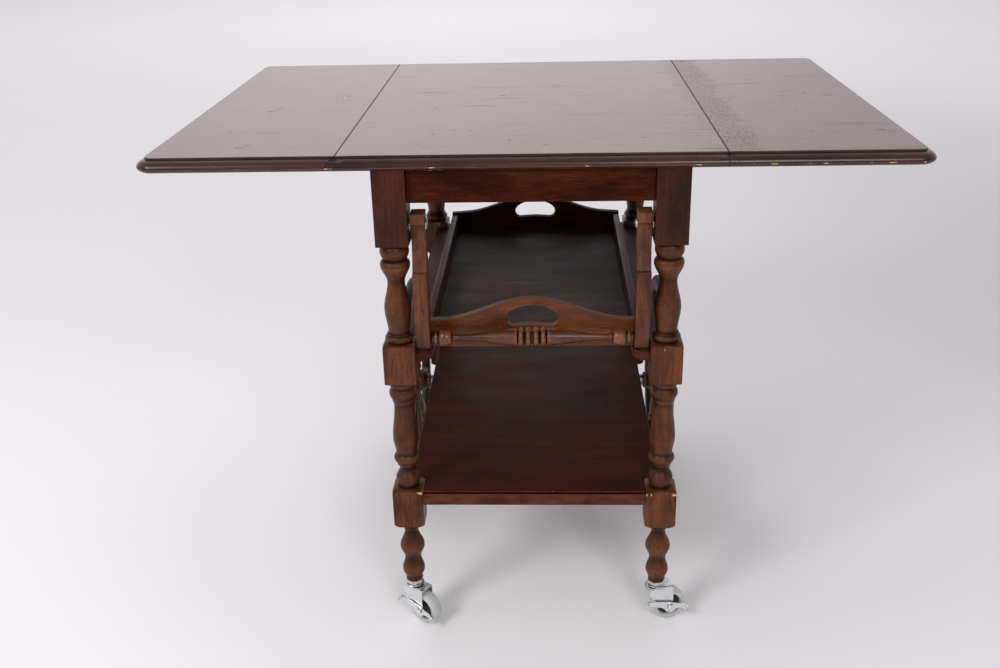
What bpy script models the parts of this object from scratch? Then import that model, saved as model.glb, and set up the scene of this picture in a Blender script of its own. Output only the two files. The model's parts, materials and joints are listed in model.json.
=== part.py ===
"""Drop-leaf tea trolley: turned legs, lift-out tray, swing handle, spoked wheels and casters.

Metres, +Z up.  The origin is on the floor under the centre of the top.  The handle end, which
stands on the casters, faces -Y; the two large wheels are near the other end.
"""
import math

import bmesh
import bpy
from mathutils import Matrix, Vector

# ---- driving dimensions -------------------------------------------------------------------
TOP_HEIGHT = 0.6875
BOARD_THICKNESS = 0.0175
CENTRE_WIDTH = 0.471
LEAF_WIDTH = 0.2463
TOP_DEPTH = 0.6763
TOP_Y = 0.0040
NOSING = 0.0108
FILLET = 0.0032
LEAF_CORNER = 0.022
RULE_RADIUS = 0.0123
RULE_GAP = 0.0005
SEAM_GAP = 0.0004

LEG_SQUARE = 0.0414
LEG_X = 0.1725
LEG_FRONT_Y = -0.30645
LEG_REAR_Y = 0.22825
TOP_BLOCK_Z = 0.5721
MID_BLOCK_Z = (0.3829, 0.4365)
LOW_BLOCK_Z = (0.1665, 0.2206)
FRONT_FOOT_Z = 0.0678
REAR_FOOT_Z = 0.1080
LEG_SIDES = 12
ROD_SIDES = 12
AXLE_SIDES = 16

APRON_BOTTOM_Z = 0.6265
APRON_THICKNESS = 0.019
APRON_SETBACK = 0.008
ARRIS = 0.0010

RUNNER_Z = (0.4125, 0.4245)
RUNNER_X = (0.1302, 0.1710)
RUNNER_SETBACK = 0.0095
RUNNER_CORNER = 0.0200
SHELF_THICKNESS = 0.0220
SHELF_SIDE_X = 0.1735

TRAY_HALF_WIDTH = 0.1410
TRAY_FRONT_Y = -0.2960
TRAY_LENGTH = 0.4890
TRAY_BOARD = 0.0115
TRAY_SIDE_BOARD = 0.0100
TRAY_PANEL_Z = (0.0015, 0.0075)
TRAY_SIDE_HEIGHT = 0.0335
TRAY_CREST = 0.0660
TRAY_HOLE_HALF_WIDTH = 0.0335
TRAY_HOLE_Z = (0.0285, 0.0570)
TRAY_HOLE_CORNER = 0.0080

HANDLE_PIVOT = (-0.3110, 0.5960)
GRIP_CENTRE = (-0.3120, 0.4445)
GRIP_TENON_RADIUS = 0.0040
ARM_X = (0.1312, 0.1492)
GRIP_SIDES = 10
PIVOT_BOLT_RADIUS = 0.0030
PIVOT_HEAD_RADIUS = 0.0065

AXLE_Y = 0.10885
BEAM_HALF_LENGTH = 0.1660
BEAM_HALF_DEPTH = 0.0210
BEAM_BELOW_AXLE = 0.0180
WHEEL_RADIUS = 0.1810
WHEEL_X = 0.2100
TYRE_WIDTH = 0.0156
RIM_OUTER = 0.1730
RIM_INNER = 0.1550
RIM_WIDTH = 0.0150
RING_STEPS = 36
AXLE_RADIUS = 0.0060
HUB_X = (0.1840, 0.2350)
SPOKES = 10
SPOKE_SIDES = 6

CASTER_RADIUS = 0.0248
CASTER_WIDTH = 0.0185
CASTER_LEAD = 0.0178
CASTER_STEPS = 24
FORK_SHEET = 0.0016
FORK_CLEARANCE = 0.0022
LEVER_SHEET = 0.0018
LEVER_TAB = 0.0075
CASTER_PIN_RADIUS = 0.0026
CASTER_STEM_RADIUS = 0.0038
CASTER_ANGLES = {"left": math.radians(-34), "right": math.radians(15)}

HINGE_Y = (-0.225, 0.225)
HINGE_LENGTH = 0.030
KNUCKLE_RADIUS = 0.0025
PIN_RADIUS = 0.0012
PLATE_THICKNESS = 0.0015
FIXED_PLATE_REACH = -0.028
LEAF_PLATE_REACH = 0.042
BRACE_OFFSET = 0.015
BRACE_LENGTH = 0.110
BRACE_ROOT_RADIUS = 0.0050
BRACE_TIP_RADIUS = 0.0030
BRACE_THICKNESS = 0.0025
BRACE_PIN_RADIUS = 0.0020
BRACE_EAR = 0.0020

GAP = 0.0003
BORE_PLAY = 0.0004
THROUGH = 0.0020
MERGE = 0.00001

AXIS_Z = TOP_HEIGHT - FILLET - RULE_RADIUS
UNDERSIDE_Z = TOP_HEIGHT - BOARD_THICKNESS
SEAM_X = CENTRE_WIDTH / 2
BRACE_X = SEAM_X - BRACE_OFFSET
BRACE_Z = AXIS_Z - BRACE_OFFSET
SIDES = {"left": -1, "right": 1}

WALNUT = ((0.085, 0.032, 0.019, 1), 0.42, 0.0)
TOP_WALNUT = ((0.105, 0.050, 0.038, 1), 0.36, 0.0)
TRAY_PANEL = ((0.060, 0.052, 0.046, 1), 0.55, 0.0)
STEEL = ((0.62, 0.63, 0.64, 1), 0.28, 1.0)
BRASSED_STEEL = ((0.45, 0.36, 0.20, 1), 0.40, 1.0)
BLACK_RUBBER = ((0.020, 0.020, 0.022, 1), 0.70, 0.0)
GREY_TREAD = ((0.42, 0.42, 0.40, 1), 0.55, 0.0)

PARTS = None
CUTTERS = None


# ---- scene and object helpers ---------------------------------------------------------------
def clear_scene():
    for item in list(bpy.data.objects):
        bpy.data.objects.remove(item, do_unlink=True)


def new_collection(name):
    collection = bpy.data.collections.new(name)
    bpy.context.scene.collection.children.link(collection)
    return collection


def material(name, look):
    colour, roughness, metallic = look
    made = bpy.data.materials.new(name)
    made.use_nodes = True
    shader = made.node_tree.nodes["Principled BSDF"]
    shader.inputs["Base Color"].default_value = colour
    shader.inputs["Roughness"].default_value = roughness
    shader.inputs["Metallic"].default_value = metallic
    made.diffuse_color = colour
    return made


def add_object(name, data, collection=None):
    item = bpy.data.objects.new(name, data)
    (collection or PARTS).objects.link(item)
    return item


def finish(item, look, smooth=False):
    item.data.materials.clear()
    item.data.materials.append(material(item.name, look))
    if smooth:
        item.data.shade_smooth()
        item.data.set_sharp_from_angle(angle=math.radians(35))
    return item


def make_cutter(item):
    for collection in list(item.users_collection):
        collection.objects.unlink(item)
    CUTTERS.objects.link(item)
    item.hide_render = True
    item.display_type = "WIRE"
    return item


def mesh_object(name, build, collection=None):
    """A mesh object whose shape is drawn by build(bmesh)."""
    mesh = bpy.data.meshes.new(name)
    shape = bmesh.new()
    build(shape)
    bmesh.ops.recalc_face_normals(shape, faces=shape.faces)
    shape.to_mesh(mesh)
    shape.free()
    return add_object(name, mesh, collection)


def box(name, low, high, collection=None):
    size = Vector(high) - Vector(low)
    centre = (Vector(high) + Vector(low)) / 2

    def build(shape):
        bmesh.ops.create_cube(shape, size=1.0)
        bmesh.ops.scale(shape, vec=size, verts=shape.verts)
        bmesh.ops.translate(shape, vec=centre, verts=shape.verts)

    return mesh_object(name, build, collection)


def rod(name, start, end, radius, sides=ROD_SIDES, collection=None):
    """A round bar between two points."""
    start, end = Vector(start), Vector(end)
    turn = (end - start).to_track_quat("Z", "Y").to_matrix().to_4x4()
    place = Matrix.Translation((start + end) / 2) @ turn

    def build(shape):
        bmesh.ops.create_cone(
            shape, cap_ends=True, segments=sides, radius1=radius, radius2=radius,
            depth=(end - start).length, matrix=place)

    return mesh_object(name, build, collection)


def loft(name, rings, collection=None):
    """A solid through rings of equal point count, closed by flat ends."""
    def build(shape):
        loops = [[shape.verts.new(point) for point in ring] for ring in rings]
        for upper, lower in zip(loops, loops[1:]):
            for i in range(len(upper)):
                j = (i + 1) % len(upper)
                shape.faces.new((upper[i], upper[j], lower[j], lower[i]))
        shape.faces.new(loops[0])
        shape.faces.new(loops[-1])

    return mesh_object(name, build, collection)


def turned(name, profile, steps, collection=None):
    """A solid of revolution about local Z from (radius, z) points running top to bottom."""
    points = [(0.0, profile[0][1])] + list(profile) + [(0.0, profile[-1][1])]

    def build(shape):
        chain = [shape.verts.new((radius, 0.0, z)) for radius, z in points]
        for upper, lower in zip(chain, chain[1:]):
            shape.edges.new((upper, lower))

    item = mesh_object(name, build, collection)
    screw = item.modifiers.new("Turn", "SCREW")
    screw.steps = steps
    screw.render_steps = steps
    screw.use_merge_vertices = True
    screw.merge_threshold = MERGE
    return item


def plate(name, outlines, thickness, collection=None):
    """A flat outline, with any holes, as a 2D curve extruded to both sides of local Z = 0."""
    curve = bpy.data.curves.new(name, "CURVE")
    curve.dimensions = "2D"
    curve.fill_mode = "BOTH"
    curve.extrude = thickness / 2
    for outline in outlines:
        spline = curve.splines.new("POLY")
        spline.points.add(len(outline) - 1)
        for point, (x, y) in zip(spline.points, outline):
            point.co = (x, y, 0.0, 1.0)
        spline.use_cyclic_u = True
    return add_object(name, curve, collection)


def as_mesh(item):
    """The evaluated shape of an object as a plain welded mesh object of the same name."""
    bpy.context.view_layer.update()
    evaluated = item.evaluated_get(bpy.context.evaluated_depsgraph_get())
    mesh = bpy.data.meshes.new_from_object(evaluated)
    shape = bmesh.new()
    shape.from_mesh(mesh)
    bmesh.ops.remove_doubles(shape, verts=shape.verts, dist=MERGE)
    bmesh.ops.recalc_face_normals(shape, faces=shape.faces)
    shape.to_mesh(mesh)
    shape.free()
    name, place = item.name, item.matrix_world.copy()
    collection = item.users_collection[0]
    bpy.data.objects.remove(item, do_unlink=True)
    made = add_object(name, mesh, collection)
    made.matrix_world = place
    return made


def boolean(item, other, operation):
    make_cutter(other)
    modifier = item.modifiers.new(operation.title(), "BOOLEAN")
    modifier.operation = operation
    modifier.solver = "EXACT"
    modifier.object = other
    return item


def join(item, other):
    return boolean(item, other, "UNION")


def cut(item, other):
    return boolean(item, other, "DIFFERENCE")


def bevel(item, width, segments=1):
    modifier = item.modifiers.new("Bevel", "BEVEL")
    modifier.width = width
    modifier.segments = segments
    modifier.limit_method = "ANGLE"
    modifier.angle_limit = math.radians(40)
    return item


def pivot(name, place, turn=(0, 0, 0), parent=None):
    """An empty on a joint's axis."""
    item = add_object(name, None)
    item.empty_display_size = 0.02
    item.location = place
    item.rotation_euler = turn
    if parent:
        item.parent = parent
    return item


def hang_on(item, empty):
    """Parents an object to an empty and keeps it where it is."""
    bpy.context.view_layer.update()
    item.parent = empty
    item.matrix_parent_inverse = empty.matrix_world.inverted()
    return item


# ---- outline helpers ------------------------------------------------------------------------
def arc(centre, radius, start, end, count):
    """Points on a circle from one angle to another, in degrees."""
    angles = [math.radians(start + (end - start) * i / count) for i in range(count + 1)]
    return [(centre[0] + radius * math.cos(a), centre[1] + radius * math.sin(a)) for a in angles]


def bead(top, bottom, edge, crest, count=4):
    """A rounded ring between two heights."""
    return [
        (edge + (crest - edge) * math.sin(math.pi * i / count), top + (bottom - top) * i / count)
        for i in range(count + 1)
    ]


def sweep(start, end, count=3):
    """A smooth run between two (radius, z) points, level at both ends."""
    points = []
    for i in range(1, count + 1):
        blend = (1 - math.cos(math.pi * i / count)) / 2
        points.append((start[0] + (end[0] - start[0]) * blend,
                       start[1] + (end[1] - start[1]) * i / count))
    return points


def wave(start, end, count=5):
    """The same smooth run for (x, y) outlines, easing in y."""
    points = []
    for i in range(1, count + 1):
        blend = (1 - math.cos(math.pi * i / count)) / 2
        points.append((start[0] + (end[0] - start[0]) * i / count,
                       start[1] + (end[1] - start[1]) * blend))
    return points


# ---- top ------------------------------------------------------------------------------------
def rule_levels(steps=5):
    """(z, centre board side x, leaf side x, moulding inset) from the top face down."""
    leaf_radius = RULE_RADIUS + RULE_GAP
    levels = [
        (TOP_HEIGHT, 0.0, SEAM_GAP, NOSING),
        (AXIS_Z + leaf_radius, 0.0, SEAM_GAP, NOSING),
    ]
    for i in range(steps + 1):
        angle = math.pi / 2 * i / steps
        rise = RULE_RADIUS * math.cos(angle)
        out = RULE_RADIUS * math.sin(angle)
        cove = math.sqrt(leaf_radius ** 2 - rise ** 2)
        down = 1 - math.cos(angle)
        inset = (NOSING - 0.0022) * (1 - math.sin(math.acos(1 - min(1.0, 1.25 * down))))
        if down > 0.8:
            inset = 0.0022 * ((down - 0.8) / 0.2) ** 2
        levels.append((AXIS_Z + rise, out, cove, inset))
    levels.append((UNDERSIDE_Z, RULE_RADIUS, leaf_radius, 0.0048))
    return levels


def top_board():
    rings = []
    for z, out, _, inset in rule_levels():
        x = SEAM_X + out
        y = TOP_DEPTH / 2 - inset
        front, rear = TOP_Y - y, TOP_Y + y
        rings.append([(-x, front, z), (x, front, z), (x, rear, z), (-x, rear, z)])
    board = loft("top_board", rings)
    for side in SIDES.values():
        for y in HINGE_Y:
            cut(board, hinge_pocket(side, y))
    return finish(board, TOP_WALNUT)


def leaf(side_name, side):
    rings = []
    for z, _, cove, inset in rule_levels():
        inner = SEAM_X + cove
        outer = SEAM_X + LEAF_WIDTH - inset
        y = TOP_DEPTH / 2 - inset
        radius = LEAF_CORNER - inset
        outline = [(inner, y), (inner, -y)]
        outline += arc((outer - radius, -y + radius), radius, -90, 0, 5)
        outline += arc((outer - radius, y - radius), radius, 0, 90, 5)
        rings.append([(side * x, TOP_Y + point_y, z) for x, point_y in outline])
    board = loft("leaf_" + side_name, rings)
    return finish(board, TOP_WALNUT)


# ---- rule-joint hinges and braces -----------------------------------------------------------
def hinge_pocket(side, y):
    """The recess in the centre board's underside that takes a hinge's knuckles."""
    half = HINGE_LENGTH / 2 + 0.001
    low = (SEAM_X - 0.0046, y - half, UNDERSIDE_Z - 0.002)
    high = (SEAM_X + 0.0032, y + half, AXIS_Z + 0.0031)
    if side < 0:
        low, high = (-high[0], low[1], low[2]), (-low[0], high[1], high[2])
    return box("hinge_pocket", low, high, CUTTERS)


def hinge_half(name, side, y, knuckles, reach):
    """A plate with its knuckles; reach is the plate's far end from the pin, + towards the leaf."""
    top = UNDERSIDE_Z - GAP
    half = HINGE_LENGTH / 2
    near = 0.0043 * math.copysign(1, reach)
    spans = sorted((side * (SEAM_X + near), side * (SEAM_X + reach)))
    body = box(name, (spans[0], y - half, top - PLATE_THICKNESS), (spans[1], y + half, top))
    for start, end in knuckles:
        link_spans = sorted((side * SEAM_X, side * (SEAM_X + near * 1.2)))
        link = box(name + "_link", (link_spans[0], y + start, top - PLATE_THICKNESS),
                   (link_spans[1], y + end, top), CUTTERS)
        barrel = rod(name + "_barrel", (side * SEAM_X, y + start, AXIS_Z),
                     (side * SEAM_X, y + end, AXIS_Z), KNUCKLE_RADIUS, ROD_SIDES, CUTTERS)
        join(body, link)
        join(body, barrel)
    bore = rod(name + "_bore", (side * SEAM_X, y - half - THROUGH, AXIS_Z),
               (side * SEAM_X, y + half + THROUGH, AXIS_Z), PIN_RADIUS + GAP / 2, ROD_SIDES,
               CUTTERS)
    return finish(cut(body, bore), BRASSED_STEEL)


def hinges(side_name, side, axis):
    half = HINGE_LENGTH / 2
    middle = half / 3
    for place, y in zip(("front", "rear"), HINGE_Y):
        label = "hinge_" + side_name + "_" + place
        hinge_half(label + "_fixed_plate", side, y, [(-half, -middle), (middle, half)],
                   FIXED_PLATE_REACH)
        moving = hinge_half(label + "_leaf_plate", side, y,
                            [(-middle + GAP, middle - GAP)], LEAF_PLATE_REACH)
        hang_on(moving, axis)
        pin = rod(label + "_pin", (side * SEAM_X, y - half, AXIS_Z),
                  (side * SEAM_X, y + half, AXIS_Z), PIN_RADIUS, ROD_SIDES)
        finish(pin, BRASSED_STEEL, smooth=True)


def brace_angle():
    """The brace's slope at rest, with its tip just under the raised leaf."""
    tip_z = UNDERSIDE_Z - 0.0005 - BRACE_TIP_RADIUS
    return math.asin((tip_z - BRACE_Z) / BRACE_LENGTH)


def brace(side_name, side):
    """A swinging bar that bears on the leaf, on a pin in an angle bracket under the top."""
    axis = pivot("axis_brace_" + side_name, (side * BRACE_X, 0, BRACE_Z))
    slope = brace_angle()
    outline = arc((0, 0), BRACE_ROOT_RADIUS, 90, 270, 8)
    outline += arc((BRACE_LENGTH, 0), BRACE_TIP_RADIUS, -90, 90, 6)
    hole = arc((0, 0), BRACE_PIN_RADIUS + 0.0003, 0, 330, 11)
    bar = plate("brace_" + side_name, [outline, hole], BRACE_THICKNESS)
    along = Vector((side * math.cos(slope), 0, math.sin(slope)))
    up = Vector((-side * math.sin(slope), 0, math.cos(slope)))
    across = along.cross(up)
    bar.matrix_world = Matrix.Translation((side * BRACE_X, 0, BRACE_Z)) @ Matrix(
        (along, up, across)).transposed().to_4x4()
    bar = as_mesh(bar)
    hang_on(bar, axis)
    finish(bar, STEEL)

    ear_y = BRACE_THICKNESS / 2 + 0.0005
    top = UNDERSIDE_Z - GAP
    flange_spans = sorted((side * (BRACE_X - 0.028), side * (BRACE_X + 0.006)))
    flange = box("brace_bracket_" + side_name,
                 (flange_spans[0], ear_y, top - BRACE_EAR), (flange_spans[1], ear_y + 0.022, top))
    ear_spans = sorted((side * (BRACE_X - 0.012), side * (BRACE_X + 0.006)))
    ear = box("brace_ear", (ear_spans[0], ear_y, BRACE_Z - 0.007),
              (ear_spans[1], ear_y + BRACE_EAR, top - 0.0005), CUTTERS)
    stud = rod("brace_stud", (side * BRACE_X, ear_y + 0.001, BRACE_Z),
               (side * BRACE_X, -ear_y - 0.0006, BRACE_Z), BRACE_PIN_RADIUS, ROD_SIDES, CUTTERS)
    head = rod("brace_stud_head", (side * BRACE_X, -ear_y, BRACE_Z),
               (side * BRACE_X, -ear_y - 0.0012, BRACE_Z), 0.0040, ROD_SIDES, CUTTERS)
    join(join(join(flange, ear), stud), head)
    finish(flange, STEEL)


# ---- legs and frame ---------------------------------------------------------------------------
def square_block(name, x, y, low, high, chamfer_top, chamfer_bottom):
    half = LEG_SQUARE / 2

    def ring(size, z):
        return [(x - size, y - size, z), (x + size, y - size, z),
                (x + size, y + size, z), (x - size, y + size, z)]

    rings = []
    if chamfer_top:
        rings.append(ring(half - chamfer_top, high))
    rings.append(ring(half, high - chamfer_top))
    rings.append(ring(half, low + chamfer_bottom))
    if chamfer_bottom:
        rings.append(ring(half - chamfer_bottom, low))
    return loft(name, rings, CUTTERS)


def upper_turning():
    """Two rings, a neck and a vase between the top and middle blocks."""
    top, bottom = TOP_BLOCK_Z, MID_BLOCK_Z[1]
    points = [(0.0150, top + 0.004)]
    points += bead(top, 0.5512, 0.0150, 0.0187)
    points += sweep((0.0150, 0.5512), (0.0191, 0.5440), 2)
    points += sweep((0.0191, 0.5440), (0.0112, 0.5205))
    points += sweep((0.0112, 0.5205), (0.0174, 0.4840))
    points += sweep((0.0174, 0.4840), (0.0138, 0.4505), 3)
    points += bead(0.4495, 0.4385, 0.0150, 0.0186)
    points.append((0.0150, bottom - 0.004))
    return points


def lower_turning():
    """A collar, ring, vase, ring and cove between the middle and low blocks."""
    top, bottom = MID_BLOCK_Z[0], LOW_BLOCK_Z[1]
    points = [(0.0165, top + 0.004), (0.0182, top - 0.0040), (0.0166, 0.3722)]
    points += bead(0.3715, 0.3545, 0.0160, 0.0184)
    points += sweep((0.0150, 0.3530), (0.0130, 0.3456), 2)
    points += sweep((0.0130, 0.3456), (0.0172, 0.2960))
    points += sweep((0.0172, 0.2960), (0.0146, 0.2725), 3)
    points += bead(0.2722, 0.2585, 0.0150, 0.0176)
    points += sweep((0.0150, 0.2585), (0.0108, 0.2505), 3)
    points += sweep((0.0108, 0.2505), (0.0166, 0.2352), 3)
    points.append((0.0170, bottom - 0.004))
    return points


def front_foot():
    """A collar, ball, waist and bulb that taper to the caster."""
    top = LOW_BLOCK_Z[0]
    points = [(0.0150, top + 0.004), (0.0150, 0.1600)]
    points += sweep((0.0150, 0.1600), (0.0094, 0.1490))
    points += sweep((0.0094, 0.1490), (0.0171, 0.1240), 4)
    points += sweep((0.0171, 0.1240), (0.0115, 0.1050))
    points += sweep((0.0115, 0.1050), (0.0156, 0.0850))
    points += sweep((0.0156, 0.0850), (0.0122, 0.0720))
    points.append((0.0116, FRONT_FOOT_Z))
    return points


def rear_foot():
    """A short turned drop, clear of the floor."""
    top = LOW_BLOCK_Z[0]
    points = [(0.0150, top + 0.004), (0.0150, 0.1600)]
    points += sweep((0.0150, 0.1600), (0.0094, 0.1490))
    points += sweep((0.0094, 0.1490), (0.0171, 0.1280), 4)
    points += sweep((0.0171, 0.1280), (0.0120, 0.1140))
    points.append((0.0090, REAR_FOOT_Z))
    return points


def leg(name, x, y, foot, front):
    body = turned(name, upper_turning(), LEG_SIDES)
    body.location = (x, y, 0)
    for part, profile in (("low", lower_turning()), ("foot", foot())):
        extra = turned(name + "_" + part, profile, LEG_SIDES, CUTTERS)
        extra.location = (x, y, 0)
        join(body, extra)
    blocks = (
        (TOP_BLOCK_Z, UNDERSIDE_Z - GAP, 0.0, 0.0020),
        (MID_BLOCK_Z[0], MID_BLOCK_Z[1], 0.0045, 0.0020),
        (LOW_BLOCK_Z[0], LOW_BLOCK_Z[1], 0.0040, 0.0030),
    )
    for low, high, chamfer_top, chamfer_bottom in blocks:
        join(body, square_block(name + "_block", x, y, low, high, chamfer_top, chamfer_bottom))
    if front:
        inner = x - math.copysign(LEG_SQUARE / 2, x)
        into = x - math.copysign(0.002, x)
        cut(body, rod(name + "_bolt_hole", (inner - math.copysign(0.002, x), *HANDLE_PIVOT),
                      (into, *HANDLE_PIVOT), 0.0033, ROD_SIDES, CUTTERS))
        cut(body, rod(name + "_stem_hole", (x, y, FRONT_FOOT_Z - 0.002),
                      (x, y, FRONT_FOOT_Z + 0.0343), 0.0043, ROD_SIDES, CUTTERS))
    return finish(body, WALNUT, smooth=True)


def frame_boards():
    inner_x = LEG_X - LEG_SQUARE / 2 - GAP
    front_face = LEG_FRONT_Y - LEG_SQUARE / 2 + APRON_SETBACK
    rear_face = LEG_REAR_Y + LEG_SQUARE / 2 - APRON_SETBACK
    top = UNDERSIDE_Z - GAP
    for name, low_y in (("apron_front", front_face), ("apron_rear", rear_face - APRON_THICKNESS)):
        apron = box(name, (-inner_x, low_y, APRON_BOTTOM_Z),
                    (inner_x, low_y + APRON_THICKNESS, top))
        finish(bevel(apron, ARRIS), WALNUT)
    half = LEG_SQUARE / 2 + GAP
    for side_name, side in SIDES.items():
        spans = sorted((side * (LEG_X - APRON_THICKNESS / 2), side * (LEG_X + APRON_THICKNESS / 2)))
        apron = box("apron_" + side_name, (spans[0], LEG_FRONT_Y + half, APRON_BOTTOM_Z),
                    (spans[1], LEG_REAR_Y - half, top))
        finish(bevel(apron, ARRIS), WALNUT)


def notched_outline(inner, outer, front, rear, corner):
    """One side of a board that runs between and past the legs, seen from above."""
    half = LEG_SQUARE / 2 + GAP
    notch = LEG_X - half
    return [
        *arc((inner + corner, front + corner), corner, 180, 270, 4),
        (notch, front),
        (notch, LEG_FRONT_Y + half),
        (outer, LEG_FRONT_Y + half),
        (outer, LEG_REAR_Y - half),
        (notch, LEG_REAR_Y - half),
        (notch, rear),
        *arc((inner + corner, rear - corner), corner, 90, 180, 4),
    ]


def runners():
    front = LEG_FRONT_Y - LEG_SQUARE / 2 + RUNNER_SETBACK
    rear = LEG_REAR_Y + LEG_SQUARE / 2 - RUNNER_SETBACK
    for side_name, side in SIDES.items():
        outline = notched_outline(RUNNER_X[0], RUNNER_X[1], front, rear, RUNNER_CORNER)
        outline = [(side * x, y) for x, y in outline]
        board = plate("runner_" + side_name, [outline], RUNNER_Z[1] - RUNNER_Z[0])
        board.location = (0, 0, sum(RUNNER_Z) / 2)
        finish(as_mesh(board), WALNUT)


def shelf():
    half = LEG_SQUARE / 2 + GAP
    notch = LEG_X - half
    rings = []
    levels = ((0.0, 0.0045), (0.0030, 0.0036), (0.0033, 0.0018), (0.0080, 0.0), (0.0165, 0.0003),
              (0.0200, 0.0016), (SHELF_THICKNESS, 0.0040))
    for down, inset in levels:
        front = LEG_FRONT_Y - LEG_SQUARE / 2 + inset
        rear = LEG_REAR_Y + LEG_SQUARE / 2 - inset
        side = SHELF_SIDE_X - inset
        z = LOW_BLOCK_Z[1] - down
        quarter = [(notch, front), (notch, LEG_FRONT_Y + half), (side, LEG_FRONT_Y + half),
                   (side, LEG_REAR_Y - half), (notch, LEG_REAR_Y - half), (notch, rear)]
        mirrored = [(-x, y) for x, y in reversed(quarter)]
        rings.append([(x, y, z) for x, y in quarter + mirrored])
    return finish(loft("shelf", rings), WALNUT)


# ---- tray -------------------------------------------------------------------------------------
def tray_end_outline():
    """Half of a serpentine end board, as (x, z) from its low corner in to its crest."""
    side = TRAY_HALF_WIDTH
    low = TRAY_SIDE_HEIGHT + 0.0030
    shoulder = (0.1220, low + 0.0013)
    points = [(side, 0.0), (side, low), shoulder]
    points += wave(shoulder, (0.0, TRAY_CREST), 9)
    return points


def tray():
    bottom_z = RUNNER_Z[1] + GAP
    axis = pivot("axis_tray", (0, TRAY_FRONT_Y + TRAY_LENGTH / 2, bottom_z))
    half = tray_end_outline()
    outline = half + [(-x, z) for x, z in reversed(half[:-1])]
    low, high = TRAY_HOLE_Z
    width = TRAY_HOLE_HALF_WIDTH
    corner = TRAY_HOLE_CORNER
    spring = low + corner + 0.0025
    hole = [(-width + corner, low), (width - corner, low)]
    hole += arc((width - corner, low + corner), corner, -60, 0, 3)
    hole += [(width * math.cos(a), spring + (high - spring) * math.sin(a))
             for a in (math.pi * i / 10 for i in range(11))]
    hole += arc((-width + corner, low + corner), corner, 180, 240, 3)
    ends = (("front", TRAY_FRONT_Y + TRAY_BOARD / 2),
            ("rear", TRAY_FRONT_Y + TRAY_LENGTH - TRAY_BOARD / 2))
    for place, y in ends:
        board = plate("tray_end_" + place, [outline, hole], TRAY_BOARD)
        board.rotation_euler = (math.pi / 2, 0, 0)
        board.location = (0, y, bottom_z)
        board = as_mesh(board)
        hang_on(board, axis)
        finish(board, WALNUT)
    inner_front = TRAY_FRONT_Y + TRAY_BOARD + GAP
    inner_rear = TRAY_FRONT_Y + TRAY_LENGTH - TRAY_BOARD - GAP
    for side_name, side in SIDES.items():
        spans = sorted((side * (TRAY_HALF_WIDTH - TRAY_SIDE_BOARD), side * TRAY_HALF_WIDTH))
        rail = box("tray_side_" + side_name, (spans[0], inner_front, bottom_z),
                   (spans[1], inner_rear, bottom_z + TRAY_SIDE_HEIGHT))
        bevel(rail, 0.0015)
        hang_on(rail, axis)
        finish(rail, WALNUT)
    inner_x = TRAY_HALF_WIDTH - TRAY_SIDE_BOARD - GAP
    panel = box("tray_bottom", (-inner_x, inner_front, bottom_z + TRAY_PANEL_Z[0]),
                (inner_x, inner_rear, bottom_z + TRAY_PANEL_Z[1]))
    hang_on(panel, axis)
    finish(panel, TRAY_PANEL)


# ---- handle -----------------------------------------------------------------------------------
def arm_outline():
    """The arm seen from the side, as (y, z) points round its edge."""
    front = LEG_FRONT_Y - LEG_SQUARE / 2
    back = front + 0.0300
    points = [(front + 0.0300, 0.6130), (front + 0.0045, 0.6130), (front + 0.0035, 0.6005)]
    points += [(front + 0.0075, 0.5970)]
    scoop = [(front + 0.0075, 0.5970), (front + 0.0165, 0.5680), (front + 0.0020, 0.5370)]
    for start, end in zip(scoop, scoop[1:]):
        for i in range(1, 4):
            part = i / 3
            ease = part * part if start[0] > end[0] else 1 - (1 - part) ** 2
            points.append((start[0] + (end[0] - start[0]) * ease,
                           start[1] + (end[1] - start[1]) * part))
    points += [(front - 0.0015, 0.5200), (front - 0.0030, 0.4950), (front - 0.0015, 0.4680)]
    points += [(front + 0.0030, 0.4450), (front + 0.0080, 0.4320), (front + 0.0140, 0.4290)]
    points += [(front + 0.0220, 0.4300), (back - 0.0015, 0.4400), (back, 0.4600)]
    points += [(back - 0.0010, 0.5050), (back + 0.0008, 0.5400), (back - 0.0030, 0.5750)]
    return points


def grip_profile():
    """The turned grip between the arms, as (radius, along) points from one end to the other."""
    half = ARM_X[0] - GAP
    tenon_end = ARM_X[0] + 0.0120
    points = [(GRIP_TENON_RADIUS, tenon_end), (GRIP_TENON_RADIUS, half)]
    points += [(0.0052, half), (0.0070, half - 0.003)]
    points += bead(half - 0.004, half - 0.010, 0.0055, 0.0080, 3)
    points += bead(half - 0.011, half - 0.029, 0.0050, 0.0117)
    points += sweep((0.0050, half - 0.029), (0.0037, half - 0.037), 2)
    points += sweep((0.0037, half - 0.037), (0.0100, 0.0200), 4)
    points += bead(0.0185, 0.0095, 0.0085, 0.0122, 3)
    points += bead(0.0090, 0.0, 0.0085, 0.0122, 3)
    mirrored = [(radius, -along) for radius, along in reversed(points[:-1])]
    return points + mirrored


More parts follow.
